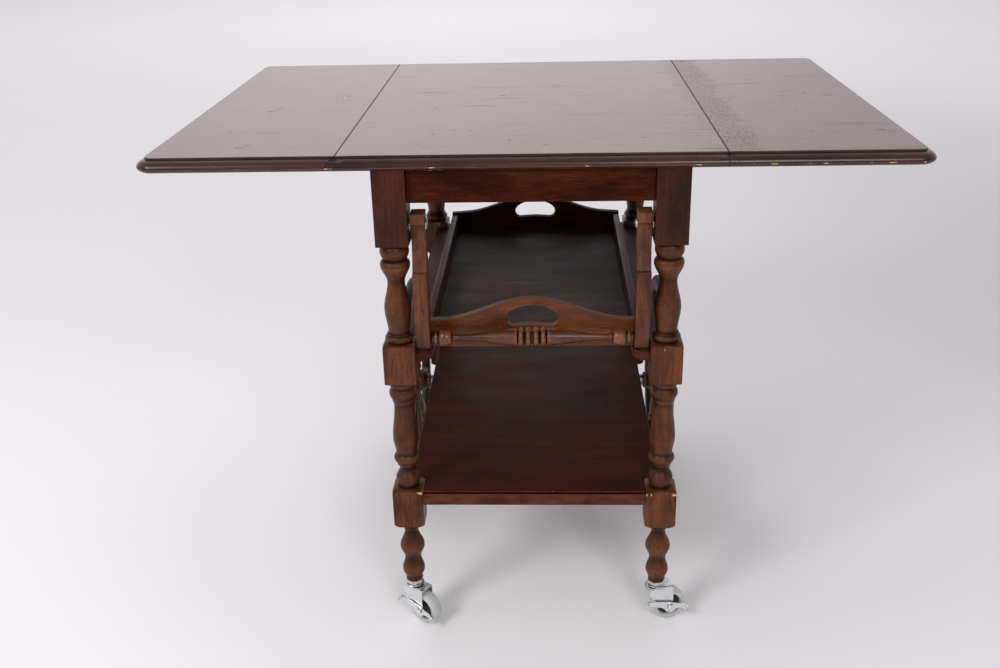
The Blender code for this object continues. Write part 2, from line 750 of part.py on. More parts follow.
def handle():
    axis = pivot("axis_handle", (0, *HANDLE_PIVOT))
    for side_name, side in SIDES.items():
        arm = plate("handle_arm_" + side_name, [arm_outline()], ARM_X[1] - ARM_X[0])
        arm.rotation_euler = (math.pi / 2, 0, math.pi / 2)
        arm.location = (side * sum(ARM_X) / 2, 0, 0)
        arm = as_mesh(arm)
        cut(arm, rod("arm_bolt_hole", (side * (ARM_X[0] - THROUGH), *HANDLE_PIVOT),
                     (side * (ARM_X[1] + THROUGH), *HANDLE_PIVOT), PIVOT_BOLT_RADIUS + BORE_PLAY,
                     ROD_SIDES, CUTTERS))
        cut(arm, rod("arm_tenon_hole", (side * (ARM_X[0] - THROUGH), *GRIP_CENTRE),
                     (side * (ARM_X[0] + 0.0123), *GRIP_CENTRE), GRIP_TENON_RADIUS + 0.0005,
                     ROD_SIDES, CUTTERS))
        hang_on(arm, axis)
        finish(arm, WALNUT)

        leg_inner = LEG_X - LEG_SQUARE / 2
        bolt = rod("handle_bolt_" + side_name, (side * (ARM_X[0] - 0.0010), *HANDLE_PIVOT),
                   (side * (leg_inner + 0.0180), *HANDLE_PIVOT), PIVOT_BOLT_RADIUS, ROD_SIDES)
        head = rod("bolt_head", (side * (ARM_X[0] - 0.0030), *HANDLE_PIVOT),
                   (side * (ARM_X[0] - GAP), *HANDLE_PIVOT), PIVOT_HEAD_RADIUS, ROD_SIDES,
                   CUTTERS)
        washer = rod("bolt_washer", (side * (ARM_X[1] + GAP), *HANDLE_PIVOT),
                     (side * (leg_inner - GAP), *HANDLE_PIVOT), PIVOT_HEAD_RADIUS + 0.0005,
                     ROD_SIDES, CUTTERS)
        finish(join(join(bolt, head), washer), STEEL)
    grip = turned("handle_grip", grip_profile(), GRIP_SIDES)
    grip.rotation_euler = (0, math.pi / 2, 0)
    grip.location = (0, *GRIP_CENTRE)
    hang_on(grip, axis)
    finish(grip, WALNUT, smooth=True)


# ---- large wheels -----------------------------------------------------------------------------
def axle_assembly():
    beam_top = LOW_BLOCK_Z[1] - SHELF_THICKNESS - GAP
    beam = box("axle_beam",
               (-BEAM_HALF_LENGTH, AXLE_Y - BEAM_HALF_DEPTH, WHEEL_RADIUS - BEAM_BELOW_AXLE),
               (BEAM_HALF_LENGTH, AXLE_Y + BEAM_HALF_DEPTH, beam_top))
    bore_end = BEAM_HALF_LENGTH + THROUGH
    cut(beam, rod("axle_bore", (-bore_end, AXLE_Y, WHEEL_RADIUS), (bore_end, AXLE_Y, WHEEL_RADIUS),
                  AXLE_RADIUS + GAP, AXLE_SIDES, CUTTERS))
    finish(beam, WALNUT)
    end = HUB_X[1] + 0.0040
    axle = rod("axle", (-end, AXLE_Y, WHEEL_RADIUS), (end, AXLE_Y, WHEEL_RADIUS), AXLE_RADIUS, AXLE_SIDES)
    for side in SIDES.values():
        collar = rod("axle_collar", (side * (HUB_X[0] - 0.0160), AXLE_Y, WHEEL_RADIUS),
                     (side * (HUB_X[0] - 0.0010), AXLE_Y, WHEEL_RADIUS), 0.0095, AXLE_SIDES, CUTTERS)
        join(axle, collar)
    finish(axle, STEEL)
    for side_name, side in SIDES.items():
        start = HUB_X[1] + 0.0010
        cap = turned("axle_cap_" + side_name, [(0.0040, 0.0085), (0.0085, 0.0065),
                                               (0.0105, 0.0020), (0.0105, 0.0)], AXLE_SIDES)
        cap.rotation_euler = (0, side * math.pi / 2, 0)
        cap.location = (side * start, AXLE_Y, WHEEL_RADIUS)
        socket = rod("cap_socket", (side * (start - 0.002), AXLE_Y, WHEEL_RADIUS),
                     (side * (end + GAP), AXLE_Y, WHEEL_RADIUS), AXLE_RADIUS + GAP, AXLE_SIDES, CUTTERS)
        cut(cap, socket)
        finish(cap, STEEL)


def ring_solid(name, section, steps):
    """A ring from a closed section of (radius, along) points, turned about local Z."""
    def build(shape):
        chain = [shape.verts.new((radius, 0.0, z)) for radius, z in section]
        for i in range(len(chain)):
            shape.edges.new((chain[i], chain[(i + 1) % len(chain)]))

    item = mesh_object(name, build)
    screw = item.modifiers.new("Turn", "SCREW")
    screw.steps = steps
    screw.render_steps = steps
    screw.use_merge_vertices = True
    screw.merge_threshold = MERGE
    return item


def hub_profile():
    inner = HUB_X[0] - WHEEL_X
    outer = HUB_X[1] - WHEEL_X
    points = [(0.0120, outer), (0.0135, outer - 0.003), (0.0125, outer - 0.006)]
    points += sweep((0.0125, outer - 0.006), (0.0190, 0.0110), 3)
    points += [(0.0195, 0.0), (0.0190, -0.0110)]
    points += sweep((0.0190, -0.0110), (0.0125, inner + 0.004), 3)
    points.append((0.0125, inner))
    return points


def wheel(side_name, side):
    axis = pivot("axis_wheel_" + side_name, (side * WHEEL_X, AXLE_Y, WHEEL_RADIUS))
    turn = (0, side * math.pi / 2, 0)
    place = (side * WHEEL_X, AXLE_Y, WHEEL_RADIUS)
    seat = RIM_OUTER + GAP
    half_width = TYRE_WIDTH / 2
    crown = WHEEL_RADIUS - seat
    tyre_section = [(seat, half_width * 0.90)]
    tyre_section += [(seat + crown * math.sin(a), half_width * math.cos(a))
                     for a in (math.pi * (0.08 + 0.84 * i / 4) for i in range(5))]
    tyre_section.append((seat, -half_width * 0.90))
    half_rim = RIM_WIDTH / 2
    rim_section = [(RIM_INNER, half_rim * 0.62), (RIM_INNER + 0.003, half_rim),
                   (RIM_OUTER, half_rim), (RIM_OUTER, -half_rim),
                   (RIM_INNER + 0.003, -half_rim), (RIM_INNER, -half_rim * 0.62)]
    rings = (("tyre", tyre_section, BLACK_RUBBER), ("rim", rim_section, WALNUT))
    for part, section, look in rings:
        item = ring_solid("wheel_" + side_name + "_" + part, section, RING_STEPS)
        item.rotation_euler = turn
        item.location = place
        hang_on(item, axis)
        finish(item, look, smooth=True)
    hub = turned("wheel_" + side_name + "_hub_and_spokes", hub_profile(), AXLE_SIDES)
    hub.rotation_euler = turn
    hub.location = place
    spoke = [(0.0050, RIM_INNER - GAP - 0.0008), (0.0052, 0.138), (0.0072, 0.105),
             (0.0052, 0.060), (0.0060, 0.014)]
    for i in range(SPOKES):
        angle = 2 * math.pi * i / SPOKES
        bar = turned("spoke", spoke, SPOKE_SIDES, CUTTERS)
        bar.rotation_euler = (angle, 0, 0)
        bar.location = place
        join(hub, bar)
    cut(hub, rod("hub_bore", (side * (HUB_X[0] - THROUGH), AXLE_Y, WHEEL_RADIUS),
                 (side * (HUB_X[1] + THROUGH), AXLE_Y, WHEEL_RADIUS),
                 AXLE_RADIUS + BORE_PLAY, AXLE_SIDES, CUTTERS))
    hang_on(hub, axis)
    finish(hub, WALNUT, smooth=True)


# ---- casters ----------------------------------------------------------------------------------
def local_plate(name, outlines, thickness, across, collection=None):
    """A plate standing in the caster's own plane: x forward, z up, at a given y."""
    item = plate(name, outlines, thickness, collection)
    item.rotation_euler = (math.pi / 2, 0, 0)
    item.location = (0, across, 0)
    return as_mesh(item)


def move_onto(item, frame):
    """Turns a piece drawn about the origin into the caster's frame."""
    bpy.context.view_layer.update()
    item.matrix_world = frame.matrix_world @ item.matrix_world
    return item


def caster(side_name, side):
    stem_x, stem_y = side * LEG_X, LEG_FRONT_Y
    label = "caster_" + side_name
    swivel = pivot("axis_" + label, (stem_x, stem_y, 0), (0, 0, CASTER_ANGLES[side_name]))
    bpy.context.view_layer.update()

    stem = rod(label + "_stem", (stem_x, stem_y, 0.0555), (stem_x, stem_y, FRONT_FOOT_Z + 0.033),
               CASTER_STEM_RADIUS, ROD_SIDES)
    nut = rod("stem_nut", (stem_x, stem_y, 0.0590), (stem_x, stem_y, FRONT_FOOT_Z - GAP),
              0.0135, 6, CUTTERS)
    finish(join(stem, nut), STEEL)

    plate_y = CASTER_WIDTH / 2 + FORK_CLEARANCE
    side_outline = [(-0.0130, 0.0585), (0.0190, 0.0585), (0.0208, 0.0560), (0.0225, 0.0290),
                    (0.0218, 0.0215), (0.0180, 0.0180), (0.0140, 0.0190), (-0.0060, 0.0350),
                    (-0.0122, 0.0460)]
    fork = box(label + "_fork", (-0.0118, -plate_y, 0.0553), (0.0180, plate_y, 0.0578))
    for across in (-plate_y, plate_y):
        cheek = local_plate("fork_cheek", [side_outline], FORK_SHEET, across, CUTTERS)
        join(fork, cheek)
    cut(fork, rod("fork_stem_hole", (0, 0, 0.054), (0, 0, 0.060), CASTER_STEM_RADIUS + BORE_PLAY,
                  ROD_SIDES, CUTTERS))
    cut(fork, rod("fork_axle_hole", (CASTER_LEAD, -CASTER_WIDTH, CASTER_RADIUS),
                  (CASTER_LEAD, CASTER_WIDTH, CASTER_RADIUS), CASTER_PIN_RADIUS + BORE_PLAY,
                  ROD_SIDES, CUTTERS))

    axle_half = plate_y + 0.0052
    axle = rod(label + "_axle", (CASTER_LEAD, -axle_half, CASTER_RADIUS),
               (CASTER_LEAD, axle_half - 0.0010, CASTER_RADIUS), CASTER_PIN_RADIUS, ROD_SIDES)
    for low, high in ((-axle_half - 0.0016, -axle_half + 0.0004),
                      (plate_y + 0.0012, plate_y + 0.0042)):
        head = rod("axle_head", (CASTER_LEAD, low, CASTER_RADIUS),
                   (CASTER_LEAD, high, CASTER_RADIUS), 0.0048, 6, CUTTERS)
        join(axle, head)

    tread_half = CASTER_WIDTH / 2
    shoulder = CASTER_RADIUS - 0.0013
    flank = CASTER_RADIUS - 0.0040
    profile = [(0.0070, tread_half), (flank, tread_half), (shoulder, tread_half - 0.0020),
               (CASTER_RADIUS, tread_half * 0.45), (CASTER_RADIUS, -tread_half * 0.45),
               (shoulder, -tread_half + 0.0020), (flank, -tread_half), (0.0070, -tread_half)]
    roller = turned(label + "_wheel", profile, CASTER_STEPS)
    roller.rotation_euler = (math.pi / 2, 0, 0)
    roller.location = (CASTER_LEAD, 0, CASTER_RADIUS)
    cut(roller, rod("roller_bore", (CASTER_LEAD, -CASTER_WIDTH, CASTER_RADIUS),
                    (CASTER_LEAD, CASTER_WIDTH, CASTER_RADIUS), CASTER_PIN_RADIUS + BORE_PLAY,
                    ROD_SIDES, CUTTERS))

    lever_y = -(plate_y + 0.0030)
    centre = (CASTER_LEAD, CASTER_RADIUS)
    outline = [(-0.0170, 0.0380), (-0.0178, 0.0310), (0.0050, 0.0262)]
    outline += arc(centre, 0.0112, 195, 340, 6)
    outline += [(0.0385, 0.0190), (0.0420, 0.0150), (0.0450, 0.0165), (0.0445, 0.0215),
                (0.0390, 0.0250), (0.0180, 0.0330)]
    hole = arc(centre, 0.0030, 0, 330, 11)
    lever = local_plate(label + "_brake_lever", [outline, hole], LEVER_SHEET, lever_y)
    for low_x, high_x, low_z, high_z in ((-0.0172, -0.0156, 0.0320, 0.0374),
                                         (0.0425, 0.0441, 0.0160, 0.0215)):
        join(lever, box("lever_tab", (low_x, lever_y - LEVER_TAB, low_z),
                        (high_x, lever_y, high_z), CUTTERS))

    bpy.context.view_layer.update()
    pieces = [fork, axle, roller, lever]
    moved = set()
    for item in pieces:
        for modifier in item.modifiers:
            if modifier.type == "BOOLEAN" and modifier.object.name not in moved:
                moved.add(modifier.object.name)
                move_onto(modifier.object, swivel)
        move_onto(item, swivel)
    axle_place = swivel.matrix_world @ Vector((CASTER_LEAD, 0, CASTER_RADIUS))
    roll = pivot("axis_" + label + "_wheel", axle_place, (0, 0, CASTER_ANGLES[side_name]))
    for item in (fork, axle, lever):
        hang_on(item, swivel)
    hang_on(roller, roll)
    finish(fork, STEEL)
    finish(axle, STEEL)
    finish(lever, STEEL)
    finish(roller, GREY_TREAD, smooth=True)


# ---- assembly ---------------------------------------------------------------------------------
def main():
    global PARTS, CUTTERS
    clear_scene()
    PARTS = new_collection("drop_leaf_tea_trolley")
    CUTTERS = new_collection("cutters")
    top_board()
    for side_name, side in SIDES.items():
        axis = pivot("axis_leaf_" + side_name, (side * SEAM_X, 0, AXIS_Z))
        hang_on(leaf(side_name, side), axis)
        hinges(side_name, side, axis)
        brace(side_name, side)
        leg("leg_front_" + side_name, side * LEG_X, LEG_FRONT_Y, front_foot, True)
        leg("leg_rear_" + side_name, side * LEG_X, LEG_REAR_Y, rear_foot, False)
        wheel(side_name, side)
        caster(side_name, side)
    frame_boards()
    runners()
    shelf()
    tray()
    handle()
    axle_assembly()


main()
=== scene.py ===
"""Drop-leaf tea trolley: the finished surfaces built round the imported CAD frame.

Metres, +Z up, the handle end facing -Y.  Every piece is placed from the CAD nodes' boxes and
joints, and rides on the CAD body that it belongs to.
"""
import json
import random
from math import cos, degrees, dist, pi, radians, sin, sqrt, tan

import bmesh
import bpy
from mathutils import Matrix, Vector
from mathutils.geometry import tessellate_polygon


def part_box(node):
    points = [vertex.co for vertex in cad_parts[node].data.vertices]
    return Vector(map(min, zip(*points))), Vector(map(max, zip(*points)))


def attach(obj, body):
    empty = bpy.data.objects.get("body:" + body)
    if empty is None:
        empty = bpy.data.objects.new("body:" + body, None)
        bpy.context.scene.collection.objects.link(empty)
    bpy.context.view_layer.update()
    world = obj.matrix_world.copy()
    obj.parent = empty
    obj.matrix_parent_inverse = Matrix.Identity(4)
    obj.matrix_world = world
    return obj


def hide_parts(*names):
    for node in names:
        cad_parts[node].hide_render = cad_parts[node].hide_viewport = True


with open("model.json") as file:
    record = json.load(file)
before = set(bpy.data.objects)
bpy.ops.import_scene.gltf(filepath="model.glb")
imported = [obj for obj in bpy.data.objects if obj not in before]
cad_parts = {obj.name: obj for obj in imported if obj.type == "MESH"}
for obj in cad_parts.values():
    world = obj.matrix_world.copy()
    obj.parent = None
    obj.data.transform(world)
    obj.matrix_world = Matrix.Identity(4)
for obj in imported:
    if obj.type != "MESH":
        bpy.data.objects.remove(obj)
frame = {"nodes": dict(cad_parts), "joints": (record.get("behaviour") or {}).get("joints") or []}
scene = bpy.context.scene
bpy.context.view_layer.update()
JOINTS = {joint["name"]: joint for joint in frame["joints"]}
SIDES = {"left": -1, "right": 1}
MM = 0.001
WEAR_AND_SHADE = ("rub", "grime", "edge")
HINGE = JOINTS["leaf_right_hinge"]["pos_m"]
SEAM, AXIS_Z = HINGE[0], HINGE[2]
# The legs: the side of a square block and the rounding of its arrises, the radius in mm that
# stands for a whole block, how far its corners reach, and where a turning starts to cut it.
SQUARE = 0.0414
ARRIS_ROUND = 0.0011
BLOCK = 60
SQUARE_REACH = 0.0300
SHOWS_SQUARE = 0.0205
# How worn the cut ends of the blocks are, by height, and every other edge of a block.
CUT_WEAR = ((0.2150, 0.2215, 1.0), (0.4300, 0.4375, 0.6))
BLOCK_WEAR = 0.35
# The least gap between neighbouring boards and legs, and the size of the screw heads.
CLEAR = 0.0004
SCREW_RADIUS = 0.0030
# Wear: how far along a turning its neighbours are felt, how far a crest stands out when it is
# fully rubbed and a groove in when it is full of grime, and the cosine of a corner whose own
# upright edge is rounded too.
NEARBY = 0.0035
FULL_RUB = 0.0007
FULL_GRIME = 0.0006
SHARP_TURN = 0.85


def low(node):
    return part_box(node)[0]


def high(node):
    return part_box(node)[1]


def middle(node):
    return (low(node) + high(node)) / 2


# ---- shader helpers ----
class Graph:
    """Short calls for the nodes of one tree; a value may be a number or a node's output."""

    def __init__(self, tree):
        self.tree = tree

    def put(self, kind, values=None, **settings):
        node = self.tree.nodes.new("ShaderNode" + kind)
        for key, value in settings.items():
            setattr(node, key, value)
        for key, value in (values or {}).items():
            if isinstance(value, bpy.types.NodeSocket):
                self.tree.links.new(value, node.inputs[key])
            else:
                node.inputs[key].default_value = value
        return node

    def calc(self, operation, first, second=0.0, third=0.0, clamp=False):
        node = self.put("Math", {0: first, 1: second, 2: third}, operation=operation)
        node.use_clamp = clamp
        return node.outputs[0]

    def mul(self, first, second):
        return self.calc("MULTIPLY", first, second)

    def add_up(self, base, *layers, clamp=False):
        """Adds values to a base one after another, each times its weight."""
        for value, weight in layers:
            base = self.calc("MULTIPLY_ADD", value, weight, base, clamp)
        return base

    def blend(self, amount, first, second, mode="MIX"):
        """Mixes two colours by an amount, each a triple or a node's output."""
        first, second = ((*colour, 1.0) if isinstance(colour, tuple) else colour
                         for colour in (first, second))
        return self.put("Mix", {0: amount, 6: first, 7: second}, data_type="RGBA",
                        blend_type=mode).outputs[2]

    def coats(self, colour, *layers):
        """Lays colours over a first one in turn, each by its own amount."""
        for amount, tone in layers:
            colour = self.blend(amount, colour, tone)
        return colour

    def spread(self, value, low_in, high_in, low_out=0.0, high_out=1.0):
        """Stretches a span of a value onto another, clamped at both ends."""
        values = {"Value": value, "From Min": low_in, "From Max": high_in,
                  "To Min": low_out, "To Max": high_out}
        return self.put("MapRange", values).outputs[0]

    def mapped(self, stretch=(1, 1, 1), shift=(0, 0, 0), turn=(0, 0, 0)):
        place = self.put("TexCoord").outputs["Object"]
        values = {"Vector": place, "Scale": stretch, "Rotation": turn, "Location": shift}
        return self.put("Mapping", values).outputs[0]

    def noise(self, scale, detail, rough, stretch=(1, 1, 1), shift=(0, 0, 0), turn=(0, 0, 0),
              warp=0.0):
        values = {"Vector": self.mapped(stretch, shift, turn), "Scale": scale,
                  "Detail": detail, "Roughness": rough, "Distortion": warp}
        return self.put("TexNoise", values).outputs[0]

    def part(self, vector, axis):
        """One component of a vector."""
        return self.put("SeparateXYZ", {0: vector}).outputs[axis]

    def painted(self, name):
        """A number stored on the mesh's points, 0 where the mesh holds none."""
        return self.put("Attribute", attribute_name=name).outputs["Fac"]


def begin(name):
    look = bpy.data.materials.new(name)
    look.use_nodes = True
    look.node_tree.nodes.clear()
    g = Graph(look.node_tree)
    shader = g.put("BsdfPrincipled")
    g.put("OutputMaterial", {0: shader.outputs[0]})
    return look, g, shader


def close(g, shader, colour, rough, height, strength, depth):
    values = {"Height": height, "Strength": strength, "Distance": depth}
    bump = g.put("Bump", values).outputs[0]
    for name, value in (("Base Color", colour), ("Roughness", rough), ("Normal", bump)):
        g.tree.links.new(value, shader.inputs[name])


def squeezed(axis, along):
    """A scale that draws a pattern out along one axis."""
    return tuple(along if i == axis else 1.0 for i in range(3))


def tinted(colour, factor):
    return tuple(factor * c for c in colour)


def grain(g, axis, seed, tones, patch, streak=1.0):
    """Open-pored wood running along one axis: (colour, fibre, pores, broad tone)."""
    shift = (seed * 1.7, seed * 0.9, seed * 2.3)
    broad = g.noise(34, 3, 0.6, squeezed(axis, 0.22), shift, warp=0.6)
    fibre = g.noise(820, 4, 0.66, squeezed(axis, 0.055), shift)
    values = {"Vector": g.mapped(squeezed(axis, 0.10), shift=shift), "Scale": 46.0,
              "Distortion": 7.5, "Detail": 3.0, "Detail Scale": 1.4}
    direction = "Y" if axis == 0 else "X"
    rings = g.put("TexWave", values, bands_direction=direction).outputs["Fac"]
    specks = g.noise(1900, 2, 0.5, squeezed(axis, 0.09), shift)
    pores = g.spread(specks, 0.58, 0.68)
    tone = g.add_up(g.mul(broad, 0.62), (fibre, 0.50), (rings, 0.05 * streak))
    dark, mid, light = tones
    blotch = g.noise(19, 4, 0.6, squeezed(axis, 0.55), shift, warp=0.4)
    colour = g.coats(dark, (g.spread(tone, 0.40, 0.62), mid), (g.spread(tone, 0.58, 0.86), light),
                     (g.spread(blotch, 0.48, 0.70, 0.0, patch), light),
                     (g.spread(blotch, 0.50, 0.30, 0.0, 0.65), tinted(dark, 0.6)),
                     (g.mul(pores, 0.6), tinted(dark, 0.35)))
    return colour, fibre, pores, blotch


def wood(name, axis, seed, tones, rough, shine, patch, chips, rubbed, shade_heights=None, worn=None):
    """Old varnished hardwood: dark in the grooves, rubbed on the crests, chipped on arrises.

    The pair of heights, if given, spans where a painted shade darkens it upwards; worn gives the
    colour of a rubbed place.
    """
    look, g, shader = begin(name)
    colour, fibre, pores, blotch = grain(g, axis, seed, tones, patch)
    # Painted shade: the colour darkens upwards between the given heights.
    if shade_heights:
        depth = g.spread(g.part(g.mapped(), 2), *shade_heights)
        shaded_colour = g.blend(1.0, colour, (0.42, 0.28, 0.24), "MULTIPLY")
        colour = g.blend(depth, colour, shaded_colour)
    rub, grime, edge = (g.painted(key) for key in WEAR_AND_SHADE)
    uneven = g.noise(80, 4, 0.65, squeezed(axis, 0.35))
    bald = g.mul(rub, g.spread(uneven, 0.34, 0.66, 0.3 * rubbed, rubbed))
    dirt_and_shade = g.mul(grime, g.spread(uneven, 0.25, 0.7, 0.98, 0.75))
    flakes = g.noise(260, 3, 0.7, squeezed(axis, 0.6))
    places = g.noise(55, 2, 0.5, shift=(seed, seed, 0))
    need = g.add_up(g.mul(flakes, 0.50), (places, 0.55), (edge, 0.16 * chips))
    chip = g.mul(g.spread(need, 0.745, 0.760), g.spread(edge, 0.2, 0.3))
    dents = g.spread(g.noise(95, 2, 0.5, squeezed(axis, 0.4), (3, seed, 1)), 0.69, 0.74)
    colour = g.coats(colour, (bald, worn or tinted(tones[2], 1.4)),
                     (dirt_and_shade, (0.005, 0.0032, 0.003)), (chip, (0.66, 0.36, 0.12)),
                     (g.mul(dents, 0.55), (0.01, 0.006, 0.005)))
    gloss = g.add_up(g.spread(blotch, 0.3, 0.75, rough - 0.07, rough + 0.12), (fibre, 0.08))
    gloss = g.add_up(gloss, (chip, 0.25), clamp=True)
    height = g.add_up(fibre, (pores, -0.6), (dents, -1.2), (uneven, 0.8), (chip, -1.5))
    shader.inputs["Specular IOR Level"].default_value = shine
    close(g, shader, colour, gloss, height, 0.30, 0.00030)
    return look


def scratches(g, turn, seed, thin, amount):
    """Fine stray lines lying one way on a level face."""
    line = g.noise(1.0, 1.0, 0.4, (3.2, 150.0, 1.0), (seed, 0, 0), (0, 0, radians(turn)))
    gate = g.noise(9, 2, 0.5, shift=(seed, seed, 0))
    return g.mul(g.spread(line, thin, thin + 0.02), g.spread(gate, 0.50, 0.60, 0.0, amount))


def table_top(name, seed, tones, crazed):
    """The worn satin face of the top, scratched and marked, crazed beside one joint."""
    look, g, shader = begin(name)
    figure, fibre, pores, _ = grain(g, 0, seed, tones, 0.40, 0.5)
    up = g.part(g.put("NewGeometry").outputs["Normal"], 2)
    face = g.spread(up, 0.90, 0.99)
    mottle = g.noise(34, 6, 0.72, (1, 1.6, 1), (seed, 0, seed))
    even = g.blend(g.spread(mottle, 0.30, 0.70), tones[1], tones[2])
    colour = g.blend(g.mul(face, 0.80), figure, even)
    lines = scratches(g, 6, seed, 0.73, 0.5)
    for turn, shift, amount in ((-4, 3.1, 0.4), (17, 5.3, 0.5), (-38, 8.2, 0.4), (74, 2.6, 0.3)):
        lines = g.calc("MAXIMUM", lines, scratches(g, turn, seed + shift, 0.735, amount))
    dashes = g.noise(120, 3, 0.6, (0.55, 1.4, 1), (seed, 1, 0))
    rare = g.noise(13, 2, 0.5, shift=(1, seed, 2))
    marks = g.spread(g.add_up(g.mul(dashes, 0.60), (rare, 0.45)), 0.690, 0.705)
    marred = g.mul(g.calc("MAXIMUM", lines, marks), face)
    colour = g.blend(g.mul(marred, 0.85), colour, (0.016, 0.006, 0.005))
    # Painted shade: faces that do not look up, the moulded edges, are darkened.
    nosing_shade = g.blend(1.0, figure, (0.45, 0.36, 0.32), "MULTIPLY")
    colour = g.blend(face, nosing_shade, colour)
    dust = g.noise(480, 3, 0.7, shift=(0, 0, seed))
    height = g.add_up(g.mul(dust, 0.55), (pores, -0.2), (fibre, 0.15), (marred, -3.0))
    rough = g.spread(mottle, 0.3, 0.72, 0.235, 0.285)
    rough = g.add_up(rough, (dust, 0.05), (marred, 0.40))
    cells = g.put("TexVoronoi", {"Vector": g.mapped((1.25, 0.55, 1.0)), "Scale": 250.0},
                  feature="DISTANCE_TO_EDGE").outputs["Distance"]
    cracks = g.spread(cells, 0.16, 0.04)
    place = g.part(g.mapped(), 0)
    wander = g.noise(30, 5, 0.7, shift=(0, seed, 0))
    offset = g.calc("ABSOLUTE", g.calc("SUBTRACT", place, SEAM + 0.012))
    strength = g.add_up(g.mul(offset, -1.0), (wander, 0.085))
    inside = g.mul(g.spread(strength, 0.008, 0.022, 0.0, crazed), face)
    broken = g.mul(inside, cracks)
    rough = g.add_up(g.add_up(rough, (inside, 0.02)), (broken, 0.11), clamp=True)
    height = g.add_up(height, (broken, -0.6))
    # Darker and rougher in a thin line beside each seam.
    from_seam = g.calc("SUBTRACT", g.calc("ABSOLUTE", place), SEAM)
    seam_line = g.spread(g.calc("ABSOLUTE", from_seam), 0.0016, 0.0007, 0.0, 0.85)
    rough = g.add_up(rough, (seam_line, 0.35), clamp=True)
    edge, grime = g.painted("edge"), g.painted("grime")
    flakes = g.noise(190, 3, 0.65, (0.45, 1, 1))
    places = g.noise(15, 3, 0.55, shift=(seed, 2, 0))
    need = g.add_up(g.mul(flakes, 0.50), (places, 0.60))
    worn = g.mul(g.spread(places, 0.35, 0.60), g.spread(edge, 0.2, 0.8))
    chip = g.mul(g.spread(need, 0.630, 0.655), g.spread(edge, 0.2, 0.4))
    # The near-black last coat is the painted shade in the quirk under the top face.
    colour = g.coats(colour, (g.mul(inside, 0.60), tinted(tones[2], 1.15)),
                     (g.mul(broken, 0.7), (0.040, 0.012, 0.009)), (seam_line, (0.010, 0.005, 0.004)),
                     (g.mul(worn, 0.7), (0.17, 0.055, 0.018)), (chip, (0.78, 0.42, 0.15)),
                     (g.mul(grime, 0.9), (0.004, 0.003, 0.003)))
    shader.inputs["Coat Weight"].default_value = 0.08
    shader.inputs["Coat Roughness"].default_value = 0.22
    shader.inputs["Specular IOR Level"].default_value = 0.32
    close(g, shader, colour, rough, height, 0.11, 0.00025)
    return look


def metal(name, tone, rough, smudge, dull):
    """Plated steel with faint rub marks and uneven brightness."""
    look, g, shader = begin(name)
    clouds = g.noise(130, 4, 0.6)
    fine = g.noise(2400, 2, 0.5, (1, 1, 0.08))
    spots = g.spread(g.noise(620, 2, 0.5), 0.66, 0.74)
    colour = g.coats(tone, (g.spread(clouds, 0.42, 0.75, 0.0, smudge), dull),
                     (g.mul(spots, smudge), (0.16, 0.12, 0.08)))
    gloss = g.add_up(g.spread(clouds, 0.3, 0.7, rough - 0.05, rough + 0.14), (fine, 0.06))
    shader.inputs["Metallic"].default_value = 1.0
    close(g, shader, colour, gloss, fine, 0.03, 0.0001)
    return look


def moulded(name, tone, scuff, rough, size):
    """Rubber or plastic with a dusty, scuffed skin."""
    look, g, shader = begin(name)
    clouds = g.noise(55, 4, 0.62)
    stipple = g.noise(size, 3, 0.6)
    scuffs = g.noise(420, 3, 0.7, (1, 1, 0.25), turn=(0.4, 0.2, 0.1))
    colour = g.coats(tone, (g.spread(clouds, 0.40, 0.72, 0.0, 0.7), scuff),
                     (g.spread(scuffs, 0.62, 0.72, 0.0, 0.5), scuff))
    gloss = g.spread(clouds, 0.3, 0.7, rough, rough + 0.16)
    close(g, shader, colour, gloss, g.calc("ADD", stipple, scuffs), 0.25, 0.0002)
    return look


# ---- mesh helpers ----
def keep(name, shape, look, body, stands_for=(), sharp=38, weigh=False):
    """Turns a bmesh into a finished piece on its body."""
    bmesh.ops.recalc_face_normals(shape, faces=shape.faces)
    data = bpy.data.meshes.new(name)
    shape.to_mesh(data)
    shape.free()
    data.shade_smooth()
    data.set_sharp_from_angle(angle=radians(sharp))
    piece = placed(name, data)
    data.materials.append(look)
    if weigh:
        tidy = piece.modifiers.new("Normals", "WEIGHTED_NORMAL")
        tidy.keep_sharp = True
    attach(piece, body)
    if stands_for:
        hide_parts(*stands_for)


def placed(name, data):
    """A new object in the scene."""
    thing = bpy.data.objects.new(name, data)
    scene.collection.objects.link(thing)
    return thing


def layers(shape):
    floats = shape.verts.layers.float
    return {key: floats.get(key) or floats.new(key) for key in WEAR_AND_SHADE}


def mm(points):
    """Pairs given in millimetres."""
    return [(a * MM, b * MM) for a, b in points]


def mirrored(points, across=1, along=1):
    """The points in reverse order with one or both of their numbers turned about."""
    return [(across * a, along * b) for a, b in reversed(points)]


def skin(shape, rings, closed=False, capped=True):
    """Joins rings of points side by side, then fills the first and the last."""
    for upper, lower in zip(rings, rings[1:] + (rings[:1] if closed else [])):
        for i in range(len(upper)):
            j = (i + 1) % len(upper)
            shape.faces.new([upper[i], upper[j], lower[j], lower[i]])
    if capped and not closed:
        shape.faces.new(list(reversed(rings[0])))
        shape.faces.new(rings[-1])


